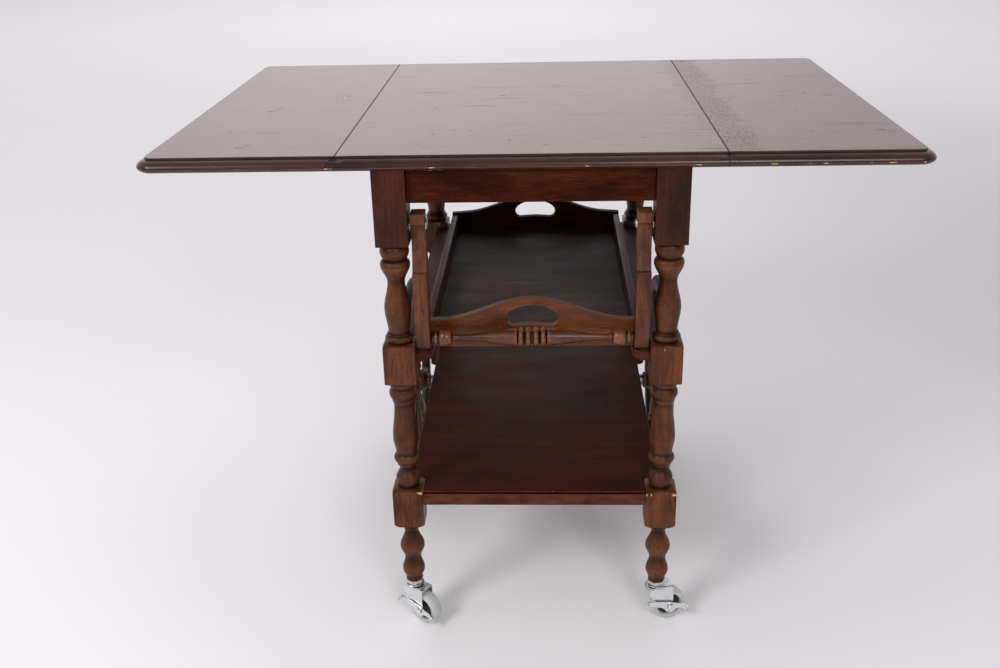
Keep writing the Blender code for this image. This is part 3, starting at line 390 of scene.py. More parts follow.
def slab(shape, outline, thickness, place, round_by, wear, holes=(), steps=2):
    """Adds a flat board from its outline, its long arrises rounded and marked as worn."""
    marks = layers(shape)["edge"]
    loops = [outline, *holes]
    flat = [[Vector((x, y, 0)) for x, y in loop] for loop in loops]
    points = [p for loop in flat for p in loop]
    bottom, top = ([shape.verts.new(place @ Vector((p.x, p.y, z))) for p in points]
                   for z in (-thickness / 2, thickness / 2))
    new_faces = []
    for tri in tessellate_polygon(flat):
        new_faces.append(shape.faces.new([top[i] for i in tri]))
        new_faces.append(shape.faces.new([bottom[i] for i in reversed(tri)]))
    start = 0
    rims = []
    corners = []
    for loop in flat:
        n = len(loop)
        for i in range(n):
            a, b = start + i, start + (i + 1) % n
            wall = shape.faces.new([bottom[a], bottom[b], top[b], top[a]])
            new_faces.append(wall)
            before = (loop[i] - loop[i - 1]).normalized()
            after = (loop[(i + 1) % n] - loop[i]).normalized()
            if before.dot(after) < SHARP_TURN:
                corners.append((bottom[a], top[a]))
            rims += [(bottom[a], bottom[b]), (top[a], top[b])]
        start += n
    bmesh.ops.recalc_face_normals(shape, faces=new_faces)
    if round_by:
        edges = [e for e in (shape.edges.get(pair) for pair in rims + corners) if e]
        made = bmesh.ops.bevel(shape, geom=edges, offset=round_by, offset_type="OFFSET",
                               segments=steps, profile=0.5, affect="EDGES", clamp_overlap=True)
        rounded = set(made["faces"])
        for vert in made["verts"]:
            if all(face in rounded for face in vert.link_faces):
                vert[marks] = wear


def board(name, node, look, body, round_by, wear):
    """A square-edged board the size of its CAD node, worn on its arrises."""
    size = high(node) - low(node)
    x, y = size.x / 2, size.y / 2
    shape = bmesh.new()
    slab(shape, [(-x, -y), (x, -y), (x, y), (-x, y)], size.z,
         Matrix.Translation(middle(node)), round_by, wear)
    keep(name, shape, look, body, [node], weigh=True)


def arc(centre, radius, start, end, count):
    angles = [radians(start + (end - start) * i / count) for i in range(count + 1)]
    return [(centre[0] + radius * cos(a), centre[1] + radius * sin(a)) for a in angles]


def ring_points(radius, height, count):
    return [(radius * cos(2 * pi * i / count),
             radius * sin(2 * pi * i / count), height) for i in range(count)]


def level_at(run, place):
    """The second number of a run of points where the first is at a place, flat past its ends."""
    place = max(place, run[0][0])
    for (p0, v0), (p1, v1) in zip(run, run[1:]):
        if place <= p1:
            return v0 + (v1 - v0) * (place - p0) / max(p1 - p0, 1e-9)
    return run[-1][1]


def hollows(profile):
    """(rub, grime) for each (radius, along) point, from how it stands out of its neighbours."""
    travel = [0.0]
    for before, after in zip(profile, profile[1:]):
        travel.append(travel[-1] + dist(before, after))
    run = [(place, radius) for place, (radius, _) in zip(travel, profile)]
    marks = []
    for place, radius in run:
        stand = radius - (level_at(run, place - NEARBY) + level_at(run, place + NEARBY)) / 2
        marks.append((min(max(stand / FULL_RUB, 0), 1), min(max(-stand / FULL_GRIME, 0), 1)))
    return marks


def lathe(shape, profile, place, count, closed=False):
    """Adds a turned shape about local Z from (radius, along) points."""
    keys = layers(shape)
    rings = []
    for (radius, along), (rub, grime) in zip(profile, hollows(profile)):
        row = [shape.verts.new(place @ Vector(point))
               for point in ring_points(max(radius, 1e-5), along, count)]
        for vert in row:
            vert[keys["rub"]] = rub
            vert[keys["grime"]] = grime
        rings.append(row)
    skin(shape, rings, closed)


def turned(name, profile, place, count, look, body, stands_for, sharp=30, closed=False):
    """A piece that is one turned shape."""
    shape = bmesh.new()
    lathe(shape, profile, place, count, closed)
    keep(name, shape, look, body, stands_for, sharp=sharp)


def bead(top, bottom, edge, crest, count):
    """A half-round ring down a turning."""
    return [(edge + (crest - edge) * sin(pi * i / count),
             top + (bottom - top) * i / count) for i in range(count + 1)]


def sweep(start, end, count):
    """A smooth run whose first number is level at both ends, its start left out."""
    points = []
    for i in range(1, count + 1):
        ease = (1 - cos(pi * i / count)) / 2
        points.append((start[0] + (end[0] - start[0]) * ease,
                       start[1] + (end[1] - start[1]) * i / count))
    return points


def sweeps(start, *stops):
    """Smooth runs from point to point; each stop is (radius, along, steps)."""
    points = []
    for radius, along, steps in stops:
        points += sweep(start, (radius, along), steps)
        start = (radius, along)
    return points


def aimed(origin, direction):
    """A frame whose local Z runs along a direction."""
    turn = Vector(direction).to_track_quat("Z", "Y")
    return Matrix.Translation(origin) @ turn.to_matrix().to_4x4()


# ---- looks ----
DEEP = ((0.017, 0.0034, 0.0013), (0.047, 0.0088, 0.0030), (0.100, 0.024, 0.0075))
TURNED = ((0.032, 0.0085, 0.0038), (0.088, 0.0255, 0.0098), (0.195, 0.062, 0.020))
ORANGE = ((0.045, 0.0110, 0.0035), (0.140, 0.0360, 0.0085), (0.240, 0.076, 0.020))
SHELF = ((0.020, 0.0028, 0.0014), (0.040, 0.0060, 0.0028), (0.074, 0.015, 0.006))
TOP = ((0.034, 0.012, 0.010), (0.094, 0.038, 0.033), (0.150, 0.067, 0.057))
PANEL = ((0.025, 0.0155, 0.0120), (0.053, 0.0345, 0.0265), (0.106, 0.073, 0.056))

# The legs' top blocks get a painted shade, darkening from 0.563 m up to full at 0.573 m.
legs_look = {place: wood("turned_walnut_" + place, 2, seed, TURNED, 0.30, 0.17, 0.40, 1.0, 0.5,
                         shade_heights=(0.563, 0.573))
             for place, seed in (("front_left", 1.0), ("front_right", 4.0),
                                 ("rear_left", 7.0), ("rear_right", 9.0))}
rails_look = wood("rail_walnut", 0, 2.0, DEEP, 0.48, 0.04, 0.20, 0.6, 0.3)
sides_look = wood("side_rail_walnut", 1, 3.0, DEEP, 0.45, 0.12, 0.20, 0.5, 0.3)
arms_look = wood("arm_walnut", 2, 5.0, TURNED, 0.42, 0.25, 0.6, 0.4, 0.5)
grip_look = wood("grip_walnut", 0, 6.0, TURNED, 0.28, 0.45, 0.35, 0.3, 0.6)
tray_look = wood("tray_walnut", 0, 8.0, ORANGE, 0.36, 0.25, 0.35, 0.3, 0.5)
# Painted shade: the rear tray end is a darker copy of the tray walnut, for the shadow it sits in.
tray_rear_shaded_look = wood("tray_rear_walnut", 0, 8.2, DEEP, 0.50, 0.04, 0.15, 0.3, 0.3)
tray_side_look = wood("tray_side_walnut", 1, 8.5, DEEP, 0.42, 0.20, 0.25, 0.4, 0.4)
shelf_look = wood("shelf_walnut", 0, 10.0, SHELF, 0.52, 0.05, 0.30, 0.8, 0.75,
                  worn=(0.150, 0.048, 0.026))
wheel_look = wood("wheel_walnut", 2, 11.0, TURNED, 0.40, 0.25, 0.30, 0.35, 0.5)
panel_look = wood("tray_panel", 0, 12.0, PANEL, 0.55, 0.12, 0.65, 0.3, 0.3)
top_looks = {"centre": table_top("top_face", 1.3, TOP, 0.45),
             "left": table_top("leaf_face_left", 4.7, TOP, 0.0),
             "right": table_top("leaf_face_right", 6.1, TOP, 1.0)}
zinc = metal("bright_zinc", (0.78, 0.81, 0.81), 0.17, 0.25, (0.52, 0.54, 0.54))
nut_steel = metal("nut_zinc", (0.60, 0.62, 0.62), 0.14, 0.4, (0.34, 0.35, 0.35))
brassed = metal("aged_brass_plate", (0.36, 0.27, 0.14), 0.38, 0.8, (0.12, 0.09, 0.06))
steel = metal("dull_steel", (0.42, 0.42, 0.42), 0.36, 0.7, (0.14, 0.12, 0.11))
rubber = moulded("tyre_rubber", (0.012, 0.012, 0.013), (0.060, 0.058, 0.055), 0.62, 900)
tread = moulded("caster_tread", (0.52, 0.54, 0.53), (0.38, 0.385, 0.37), 0.36, 1200)
# Painted shade: near-black for the shade in the caster wheels' hub recess.
recess_shade = moulded("caster_core", (0.010, 0.011, 0.013), (0.030, 0.030, 0.030), 0.40, 900)


# ---- top ----
# (depth, inset) down the moulded edge of the top, in millimetres.
NOSING = [(0.0, 11.7), (0.25, 11.1), (0.9, 10.8), (2.9, 10.8), (3.15, 10.4), (3.3, 9.3),
          (3.8, 7.4), (4.7, 5.3), (5.9, 3.5), (7.3, 2.0), (8.8, 0.95), (10.3, 0.3),
          (11.8, 0.0), (13.2, 0.3), (14.5, 1.15), (15.7, 2.4), (16.6, 3.7), (17.1, 4.6),
          (17.35, 5.1), (17.5, 5.7)]


def nosing_inset(depth):
    """How far the moulded edge stands back at a depth below the top face."""
    return level_at(NOSING, depth / MM) * MM


TOP_Z = high("top_board").z
THICK = TOP_Z - low("top_board").z
RULE = high("top_board").x - SEAM
RULE_TOP = TOP_Z - AXIS_Z - RULE
JOINT_GAP = 0.0005


def rule_depths():
    """Depths where either the moulding or the rule joint needs a ring."""
    depths = [d * MM for d, _ in NOSING]
    for step in range(13):
        depths.append(TOP_Z - AXIS_Z - RULE * cos(radians(7.5 * step)))
    depths += [RULE_TOP + 0.0001, 0.0155]
    chosen = []
    for depth in sorted(depths):
        if not chosen or depth - chosen[-1] > 0.00012:
            chosen.append(min(depth, THICK))
    return chosen


def joint_edge(depth, radius):
    """How far the rule joint's curve stands out from the seam at a depth."""
    rise = TOP_Z - depth - AXIS_Z
    if rise >= radius:
        return 0.0
    return sqrt(radius ** 2 - max(rise, 0.0) ** 2)


def lofted(name, rows, marks, look, body, stands_for):
    """Closed rings joined from the top face down, each with its (edge, grime, rub) marks."""
    shape = bmesh.new()
    keys = layers(shape)
    rings = []
    for row, (edge, grime, rub) in zip(rows, marks):
        ring = [shape.verts.new(point) for point in row]
        for vert in ring:
            vert[keys["edge"]] = edge
            vert[keys["grime"]] = grime
            vert[keys["rub"]] = rub
        rings.append(ring)
    skin(shape, rings)
    keep(name, shape, look, body, stands_for, sharp=50, weigh=True)


def edge_marks(depth):
    """Worn lower edge and bottom arris, and a painted shade on the polish in the quirk."""
    edge = 1.0 if 0.0130 < depth < 0.0134 or 0.0169 < depth < 0.01745 else 0.0
    # Painted shade in the quirk just below the top face.
    grime = 0.9 if 0.0010 < depth < 0.0036 else 0.0
    return edge, grime, 0.0


def eased(depth):
    """How far the seam's top arris stands back."""
    return 0.0005 if depth < 0.0002 else 0


def split(start, end, count):
    return [start + (end - start) * i / count for i in range(count + 1)]


y_low, y_high = low("top_board").y, high("top_board").y
depths = rule_depths()
rows = []
for depth in depths:
    inset = nosing_inset(depth)
    out = SEAM + joint_edge(depth, RULE) - eased(depth)
    near, far = y_low + inset, y_high - inset
    xs = split(-out, out, 24)
    outline = [(x, near) for x in xs] + [(x, far) for x in reversed(xs)]
    rows.append([(x, y, TOP_Z - depth) for x, y in outline])
top_marks = [edge_marks(depth) for depth in depths]
lofted("top_board_worn", rows, top_marks, top_looks["centre"], "frame", ["top_board"])

LEAF_CORNER = 0.022
for side_name, side in SIDES.items():
    reach = high("leaf_right").x
    rows = []
    for depth in depths:
        inset = nosing_inset(depth)
        cove = max(joint_edge(depth, RULE + JOINT_GAP), CLEAR) + eased(depth)
        inner, outer = SEAM + cove, reach - inset
        near, far = y_low + inset, y_high - inset
        radius = LEAF_CORNER - inset
        outline = [(x, near) for x in split(inner, outer - radius, 12)]
        outline += arc((outer - radius, near + radius), radius, -90, 0, 10)[1:]
        outline += [(outer, y) for y in split(near + radius, far - radius, 16)[1:]]
        outline += arc((outer - radius, far - radius), radius, 0, 90, 10)[1:]
        outline += [(x, far) for x in split(outer - radius, inner, 12)[1:]]
        rows.append([(side * x, y, TOP_Z - depth) for x, y in outline])
    body = "leaf_" + side_name
    lofted(body + "_worn", rows, top_marks, top_looks[side_name], body, [body])


# ---- legs ----
def off_side(angle):
    """Degrees from the middle of the nearest side of a square, 45 at its corners."""
    return abs((degrees(angle) + 45) % 90 - 45)


def square_radius(angle, half, corner):
    """Distance from the middle of a round-cornered square to its side."""
    turn = radians(off_side(angle))
    if tan(turn) * half <= half - corner:
        return half / cos(turn)
    reach = (half - corner) * (cos(turn) + sin(turn))
    return reach + sqrt(max(reach ** 2 - 2 * (half - corner) ** 2 + corner ** 2, 0.0))


def leg_angles():
    """Directions round a leg, closest together at the four corners."""
    quarter = [-43.3, -40.5] + [-37.5 + 5 * i for i in range(16)] + [40.5, 43.3]
    quarter += [43.9, 44.5, 45.0, 45.5, 46.1]
    return [radians(90 * q + a) for q in range(4) for a in quarter]


def shoulder(start, end, outward):
    """Rounded cut where a turner's gouge meets the square: full square at one end."""
    points = []
    for i in range(9):
        part = i / 8
        wide = sqrt(1 - (1 - part) ** 2) if outward else sqrt(1 - part ** 2)
        points.append((19.5 + (30.2 - 19.5) * wide, start + (end - start) * part))
    return points


def leg_profile(place, top, foot):
    """(radius, z) down a leg; a radius past the square's corner leaves the block square."""
    points = [
        (28.6, top), (BLOCK, top - 0.6), (BLOCK, 573.1), (28.7, 572.2), (15, 572.1),
        *bead(572, 551.2, 15, 18.7, 12), (14.8, 550.8), (16.6, 550), (18.2, 548.2), (19, 545.5),
        (19.1, 544), *sweeps((19.1, 544), (11.2, 520.5, 12), (17.4, 484, 14), (13.8, 450.8, 12)),
        (15.6, 450.4), (15.8, 449.7), (15, 449.3), *bead(449, 438.8, 15.2, 18.6, 8),
        (16, 438.4), (16, 437.6), *shoulder(437, 431, True),
        (BLOCK, 430.6), (BLOCK, 385.2), (29, 383.6), (27.8, 382.9), (17.6, 382.8),
        (18.1, 381.2), (18.3, 379), (17.8, 376.2), (16.8, 374.5), (15.8, 373.5), (15.5, 372.2),
        *bead(371.6, 356, 15.6, 18.4, 10),
        *sweeps((15.4, 355.8), (13, 345.6, 6), (17.3, 296, 14), (14.3, 273.5, 10)),
        (14.6, 273), *bead(272.5, 259.2, 14.6, 17.7, 9),
        *sweeps((14.5, 259), (10.7, 250.5, 6), (16.6, 235.2, 8)),
        (16.6, 232), (16, 228), (14.8, 224.5), (14.6, 222.8), *shoulder(221.4, 215.6, True),
        (BLOCK, 215.2), (BLOCK, 173), *shoulder(172.6, 163.2, False),
        (17, 160.4), (15, 158.8), (12.6, 157.8), (12.2, 156.8), (11.6, 155),
        *sweeps((11.4, 154.5), (9.5, 149.2, 5))]
    if place.startswith("front"):
        points += sweeps((9.5, 149.2), (17.2, 124, 12), (11.4, 105, 10), (15.7, 85.8, 9))
        points += [(15.8, 85), (15.3, 84.6), (15.7, 84), *sweeps((15.5, 83.7), (12.1, 72.8, 7)),
                   (11.6, 72.2), (11.9, 71), (11.6, foot)]
    else:
        points += sweeps((9.5, 149.2), (17.2, 127.5, 10), (11.8, 112.5, 8))
        points += [(10.3, 109.5), (9.2, foot)]
    return mm(points)


# Heights between which the turnings are smoked dark.
SMOKED = mm(((543, 572.2), (437.6, 451.2), (355, 383.2), (256, 273.5),
          (222.5, 246), (149, 173), (100, 111), (60, 77)))


def build_leg(place):
    """A leg turned between its three square blocks, darkest on the small beads."""
    node = "leg_" + place
    centre = Vector((middle(node).x, middle(node).y, 0))
    profile = leg_profile(place, high(node).z / MM, low(node).z / MM)
    shape = bmesh.new()
    keys = layers(shape)
    angles = leg_angles()
    marks = hollows([(min(radius, SQUARE_REACH), z) for radius, z in profile])
    rings = []
    for (radius, z), (rub, grime) in zip(profile, marks):
        near_block = radius > SHOWS_SQUARE
        smoke = 0.6 if any(start < z < end for start, end in SMOKED) else 0.15
        ring = []
        for angle in angles:
            square = square_radius(angle, SQUARE / 2, ARRIS_ROUND)
            reach = min(radius, square)
            vert = shape.verts.new(centre + Vector((reach * cos(angle),
                                                    reach * sin(angle), z)))
            arris = off_side(angle) > 43.8
            cut = near_block and radius < BLOCK * MM and abs(reach - square) < 0.0012
            strength = next((worn for start, end, worn in CUT_WEAR if cut and start < z < end),
                            BLOCK_WEAR)
            vert[keys["edge"]] = strength if near_block and (arris or cut) else 0.0
            vert[keys["rub"]] = 0.0 if near_block else rub
            vert[keys["grime"]] = 0.0 if near_block else max(grime, smoke)
            ring.append(vert)
        rings.append(ring)
    skin(shape, rings)
    keep(node + "_turned", shape, legs_look[place], "frame", [node], sharp=34)


for place in legs_look:
    build_leg(place)


# ---- rails, runners and shelf ----
for node, look in (("apron_front", rails_look), ("apron_rear", rails_look),
                   ("apron_left", sides_look), ("apron_right", sides_look)):
    board(node + "_rail", node, look, "frame", 0.0010, 0.55)
board("axle_beam_block", "axle_beam", rails_look, "frame", 0.0014, 0.5)

# Seen from above, a board between the legs is notched round each of them.
NOTCH = low("leg_front_right").x - CLEAR
BEHIND = high("leg_front_right").y + CLEAR
BEFORE = low("leg_rear_right").y - CLEAR
CORNER = 0.020
for side_name, side in SIDES.items():
    a, b = low("runner_right"), high("runner_right")
    outline = [*arc((a.x + CORNER, a.y + CORNER), CORNER, 180, 270, 6), (NOTCH, a.y),
               (NOTCH, BEHIND), (b.x, BEHIND), (b.x, BEFORE), (NOTCH, BEFORE), (NOTCH, b.y),
               *arc((a.x + CORNER, b.y - CORNER), CORNER, 90, 180, 6)]
    shape = bmesh.new()
    slab(shape, [(side * x, y) for x, y in outline], b.z - a.z,
         Matrix.Translation((0, 0, (a.z + b.z) / 2)), 0.0010, wear=0.7)
    keep("runner_board_" + side_name, shape, sides_look, "frame",
         ["runner_" + side_name], weigh=True)

# (depth, inset) down the shelf's moulded edge, in millimetres.
SHELF_EDGE = [(0.0, 4.9), (0.5, 4.45), (2.6, 4.4), (2.9, 3.9), (3.0, 2.4), (3.7, 1.3), (5.2, 0.45),
              (7.2, 0.05), (10.0, 0.0), (14.0, 0.1), (17.0, 0.45), (19.0, 1.2), (20.6, 2.4),
              (21.4, 3.4), (22.0, 4.4)]
a, b = low("shelf"), high("shelf")
rows = []
marks = []
for depth, inset in SHELF_EDGE:
    inset *= MM
    front, rear = a.y + inset, b.y - inset
    half = [(x, front) for x in split(0.0, NOTCH, 8)] + [(NOTCH, BEHIND)]
    half += [(b.x - inset, y) for y in split(BEHIND, BEFORE, 12)] + [(NOTCH, BEFORE)]
    half += [(x, rear) for x in split(NOTCH, 0.0, 8)]
    rows.append([(x, y, b.z - depth * MM) for x, y in half + mirrored(half[1:-1], -1)])
    marks.append((0.75 if depth in (0.5, 20.6) else 0.0, 0.8 if 2.5 < depth < 3.5 else 0.0,
                  1.0 if 0.4 < depth < 2.0 or depth > 3.5 else 0.0))
lofted("shelf_board", rows, marks, shelf_look, "frame", ["shelf"])


# ---- tray ----
def build_tray_end(place):
    node = "tray_end_" + place
    a, b = low(node), high(node)
    wide, corner = b.x / MM, 36.2
    half = [(wide, 0.0), (wide, corner - 0.4), (131, corner + 0.4)]
    half += [(x, z) for z, x in sweep((corner + 1.2, 122.5), ((b.z - a.z) / MM, 0.0), 26)]
    reach, sill, rise, bend = 33.5, 28.5, 17.5, 9
    hole = [(-reach + bend, sill), (-12, sill + 0.8), (0.0, sill + 1.4),
            (12, sill + 0.8), (reach - bend, sill)]
    hole += arc((reach - bend, sill + bend), bend, -76, -8, 6)
    hole += [(reach * cos(t), sill + 11 + rise * sin(t))
             for t in (pi * i / 22 for i in range(23))]
    hole += arc((-reach + bend, sill + bend), bend, 188, 256, 6)
    shape = bmesh.new()
    stand = Matrix(((1, 0, 0, 0), (0, 0, 1, (a.y + b.y) / 2), (0, 1, 0, a.z), (0, 0, 0, 1)))
    slab(shape, mm(half + mirrored(half[:-1], -1)), b.y - a.y, stand, 0.0021, 0.35, [mm(hole)], 4)
    # The rear end takes the copy darkened with painted shade.
    look = tray_look if place == "front" else tray_rear_shaded_look
    keep(node + "_board", shape, look, "tray", [node], weigh=True)


for place in ("front", "rear"):
    build_tray_end(place)
for side_name in SIDES:
    node = "tray_side_" + side_name
    board(node + "_rail", node, tray_side_look, "tray", 0.0018, 0.7)
board("tray_floor_panel", "tray_bottom", panel_look, "tray", 0.0006, 0.0)


# ---- push handle ----
def arm_outline(front, back, top, foot):
    """(y, z) round a handle arm: stepped head, scoop, ledge and rounded lobe."""
    head = top - 13
    ledge = 537
    points = [(back - 0.8, top), (front + 6.5, top), (front + 5.8, head),
              (front + 10.5, head - 2.2)]
    for i in range(1, 12):
        part = i / 12
        dip = sin(pi * part ** 0.85) ** 0.75
        points.append((front + 10 * (1 - part) + 7.2 * part + 7.2 * dip,
                       head - 2.2 + (ledge - head + 2.2) * part))
    points += [(front + 7.8, ledge + 0.4), (front + 3.4, ledge), (front + 2.4, ledge - 1.2)]
    for i in range(1, 17):
        part = i / 16
        z = ledge - 1.2 + (foot + 6 - ledge + 1.2) * part
        points.append((front + 2.4 - 2.4 * sin(pi * part) ** 0.9
                       + 7.5 * max(0.0, part - 0.62) / 0.38, z))
    points += [(front + 12.8, foot + 2), (front + 17, foot),
               (front + 23, foot + 1), (back - 5, foot + 6),
               (back - 2.2, foot + 14)]
    points += [(back - 1.2 - 1.4 * cos(6.0 * t),
                foot + 20 + (top - foot - 25) * t) for t in (i / 16 for i in range(16))]
    return mm(points)


for side_name, side in SIDES.items():
    node = "handle_arm_" + side_name
    a, b = low(node), high(node)
    shape = bmesh.new()
    stand = Matrix(((0, 0, 1, (a.x + b.x) / 2), (1, 0, 0, 0), (0, 1, 0, 0), (0, 0, 0, 1)))
    outline = arm_outline(*(value / MM for value in (a.y, b.y, b.z, a.z)))
    slab(shape, outline, b.x - a.x, stand, 0.0011, wear=0.75)
    keep(node + "_shaped", shape, arms_look, "handle", [node], weigh=True)


def grip_profile(half):
    """(radius, along) over the grip: end ring, barrel, long taper and four middle rings."""
    points = [(6.2, half), (7.4, half - 3)]
    points += bead(half - 4.2, half - 9.6, 7.6, 9.2, 7)
    points += [(7.6, half - 10.1)]
    points += [(7.6 + 4.1 * sin(pi * t) ** 0.45, half - 10.4 - 16.6 * t)
               for t in (i / 16 for i in range(17))]
    points += [(5, half - 27.4), (4.6, half - 28)]
    points += bead(half - 28.3, half - 30.6, 4.6, 5.8, 5)
    points += sweep((4.6, half - 31), (3.7, half - 37), 5)
    points += sweep((3.7, half - 37), (10.7, 21.2), 18)
    points += [(10.7, 19.7), (8.4, 19.1)]
    for start in (18.9, 9.5):
        points += [(8, start + 0.1)]
        points += bead(start, start - 8.9, 8.6, 12.4, 8)
    return mm(points + mirrored(points, along=-1))


arm_in = low("handle_arm_right").x
turned("grip_turned", grip_profile((arm_in - 0.0003) / MM), aimed(middle("handle_grip"), (1, 0, 0)),
       48, grip_look, "handle", ["handle_grip"])

pin = JOINTS["handle_swing"]["pos_m"]
long = (high("handle_bolt_right").x - arm_in) / MM + 3
gap = (high("handle_arm_right").x - arm_in) / MM
bolt = mm([(1.8, 0), (4, 0.3), (5.8, 1.1), (6.4, 2.2), (6.4, 2.7), (3, 2.8), (3, gap + 3.4),
           (6.9, gap + 3.5), (7, gap + 3.9), (7, gap + 5), (6.8, gap + 5.4), (3, gap + 5.5),
           (3, long - 1), (2.4, long)])
for side_name, side in SIDES.items():
    turned("pivot_bolt_" + side_name, bolt,
           aimed((side * (arm_in - 0.0031), pin[1], pin[2]), (side, 0, 0)), 32, steel, "frame",
           ["handle_bolt_" + side_name])


# ---- spoked wheels ----
SPOKES = 10
RIM_INNER = 155


def half_size(node, axis):
    """Half of a CAD node's size along one axis, in millimetres."""
    return (high(node)[axis] - low(node)[axis]) / 2 / MM


def build_wheel(side_name, side):
    body = "wheel_" + side_name
    hub = body + "_hub_and_spokes"
    spin = JOINTS[body + "_spin"]["pos_m"]
    stand = aimed(spin, (side, 0, 0))
    rim, wide = half_size(body + "_rim", 2), half_size(body + "_rim", 0)
    seat, half = rim + 0.3, half_size(body + "_tyre", 0)
    crown = half_size(body + "_tyre", 2) - seat
    section = [(seat, half * 0.86), (seat + 0.6, half * 0.94)]
    section += [(seat + 1 + (crown - 1) * sin(t), half * cos(t))
                for t in (pi * (0.05 + 0.90 * i / 16) for i in range(17))]
    section += [(seat + 0.6, -half * 0.94), (seat, -half * 0.86)]
    turned(body + "_rubber_tyre", mm(section), stand, 128, rubber, body,
           [body + "_tyre"], 50, True)
    section = [(RIM_INNER, wide * 0.55), (RIM_INNER + 0.6, wide * 0.74),
               (RIM_INNER + 2.2, wide * 0.92), (RIM_INNER + 4.2, wide), (rim - 1.2, wide),
               (rim, wide * 0.9)]
    turned(body + "_felloe", mm(section + mirrored(section, along=-1)), stand, 128, wheel_look,
           body, [body + "_rim"], closed=True)

    near, far = (abs(edge.x - spin[0]) / MM for edge in (low(hub), high(hub)))
    outward, inward = (far, -near) if side > 0 else (near, -far)
    profile = [(6.4, outward), (11.8, outward), (13.2, outward - 1.2), (13.6, outward - 3),
               (13, outward - 5), (12.1, outward - 5.8)]
    profile += sweep((12.1, outward - 5.8), (18.8, 10.6), 8)
    profile += [(19.6, 9), (19.7, 3), (19.7, -3), (19.6, -9)]
    profile += sweep((18.8, -10.6), (12.4, inward + 5), 8)
    profile += [(13.4, inward + 4), (13.4, inward + 1), (12.6, inward), (6.4, inward)]
    shape = bmesh.new()
    lathe(shape, mm(profile), stand, 48, closed=True)
    spoke = [(5.8, 16), (6.6, 24), (5, 30), (4.8, 33), (6.4, 35), (6.6, 37.5), (5, 39.5)]
    spoke += sweeps((4.8, 40), (7.2, 98, 10), (5, 129, 6))
    spoke += [(6.4, 131), (6.6, 133.5), (5.2, 135.5), (5, 140), (5.4, 148), (5, 155.2)]
    for i in range(SPOKES):
        angle = 2 * pi * i / SPOKES
        lathe(shape, mm(spoke), aimed(spin, (0, sin(angle), cos(angle))), 16)
    keep(body + "_spokes_and_hub", shape, wheel_look, body, [hub], sharp=34)

    cap = low("axle_cap_right").x
    tall = (high("axle_cap_right").x - cap) / MM
    profile = [(10.4, 0), (10.5, tall * 0.25), (10.1, tall * 0.42), (9.2, tall * 0.60),
               (7.6, tall * 0.78), (5.5, tall * 0.91), (3, tall * 0.98), (0.8, tall)]
    turned("hub_cap_" + side_name, mm(profile), aimed((side * cap, *spin[1:]), (side, 0, 0)), 40,
           steel, "frame", ["axle_cap_" + side_name], 40)


for side_name, side in SIDES.items():
    build_wheel(side_name, side)

reach = high("axle").x / MM
collar = 71 - reach
profile = [(5, -reach), (6, 1 - reach), (6, collar - 15), (8.8, collar - 15), (9.4, collar - 14.3),
           (9.4, collar - 0.7), (8.8, collar), (6, collar)]
turned("axle_rod", mm(profile + mirrored(profile, along=-1)), aimed(middle("axle"), (1, 0, 0)), 32,
       steel, "frame", ["axle"])


# ---- casters ----
FORK_HEM = [(-12.5, 47.8), (-8.5, 41.2), (-3, 34.8), (6, 27.8), (11, 22.2), (14.5, 19.2),
            (18, 18.2), (20.5, 19.5), (22.2, 23.5)]
FORK_HALF = 12.3


def upright(stand, across):
    """A plate's frame standing along the caster's run, at a place along its axle."""
    return stand @ Matrix(((1, 0, 0, 0), (0, 0, 1, across), (0, 1, 0, 0), (0, 0, 0, 1)))


def build_fork(shape, stand):
    """A bent sheet: two cheeks and the top plate, with a rounded bend between them."""
    thick, bend, crown = 1.6, 3.0, 57.8
    rows = []
    for x in split(FORK_HEM[0][0], FORK_HEM[-1][0], 26):
        hem = level_at(FORK_HEM, x)
        loops = []
        for shrink in (0, thick):
            wide, radius, top = FORK_HALF - shrink, bend - shrink, crown - shrink
            run = [(-wide, hem), (-wide, hem * 0.4 + (top - radius) * 0.6)]
            run += arc((radius - wide, top - radius), radius, 180, 90, 6)
            loops.append(run + mirrored(run, -1))
        rows.append([shape.verts.new(stand @ Vector((x * MM, y * MM, z * MM)))
                     for y, z in loops[0] + loops[1][::-1]])
    skin(shape, rows, capped=False)
    last = len(rows[0]) - 1
    for row in (rows[0], rows[-1]):
        for i in range(last // 2):
            shape.faces.new([row[i], row[i + 1], row[last - 1 - i], row[last - i]])


def hexagon(shape, radius, base, tall, stand):
    """A chamfered six-sided nut, in millimetres."""
    rings = [ring_points(radius * part * MM, (base + tall * along) * MM, 6)
             for part, along in ((0.93, 0.0), (1.0, 0.10), (1.0, 0.90), (0.93, 1.0))]
    skin(shape, [[shape.verts.new(stand @ Vector(point)) for point in ring] for ring in rings])


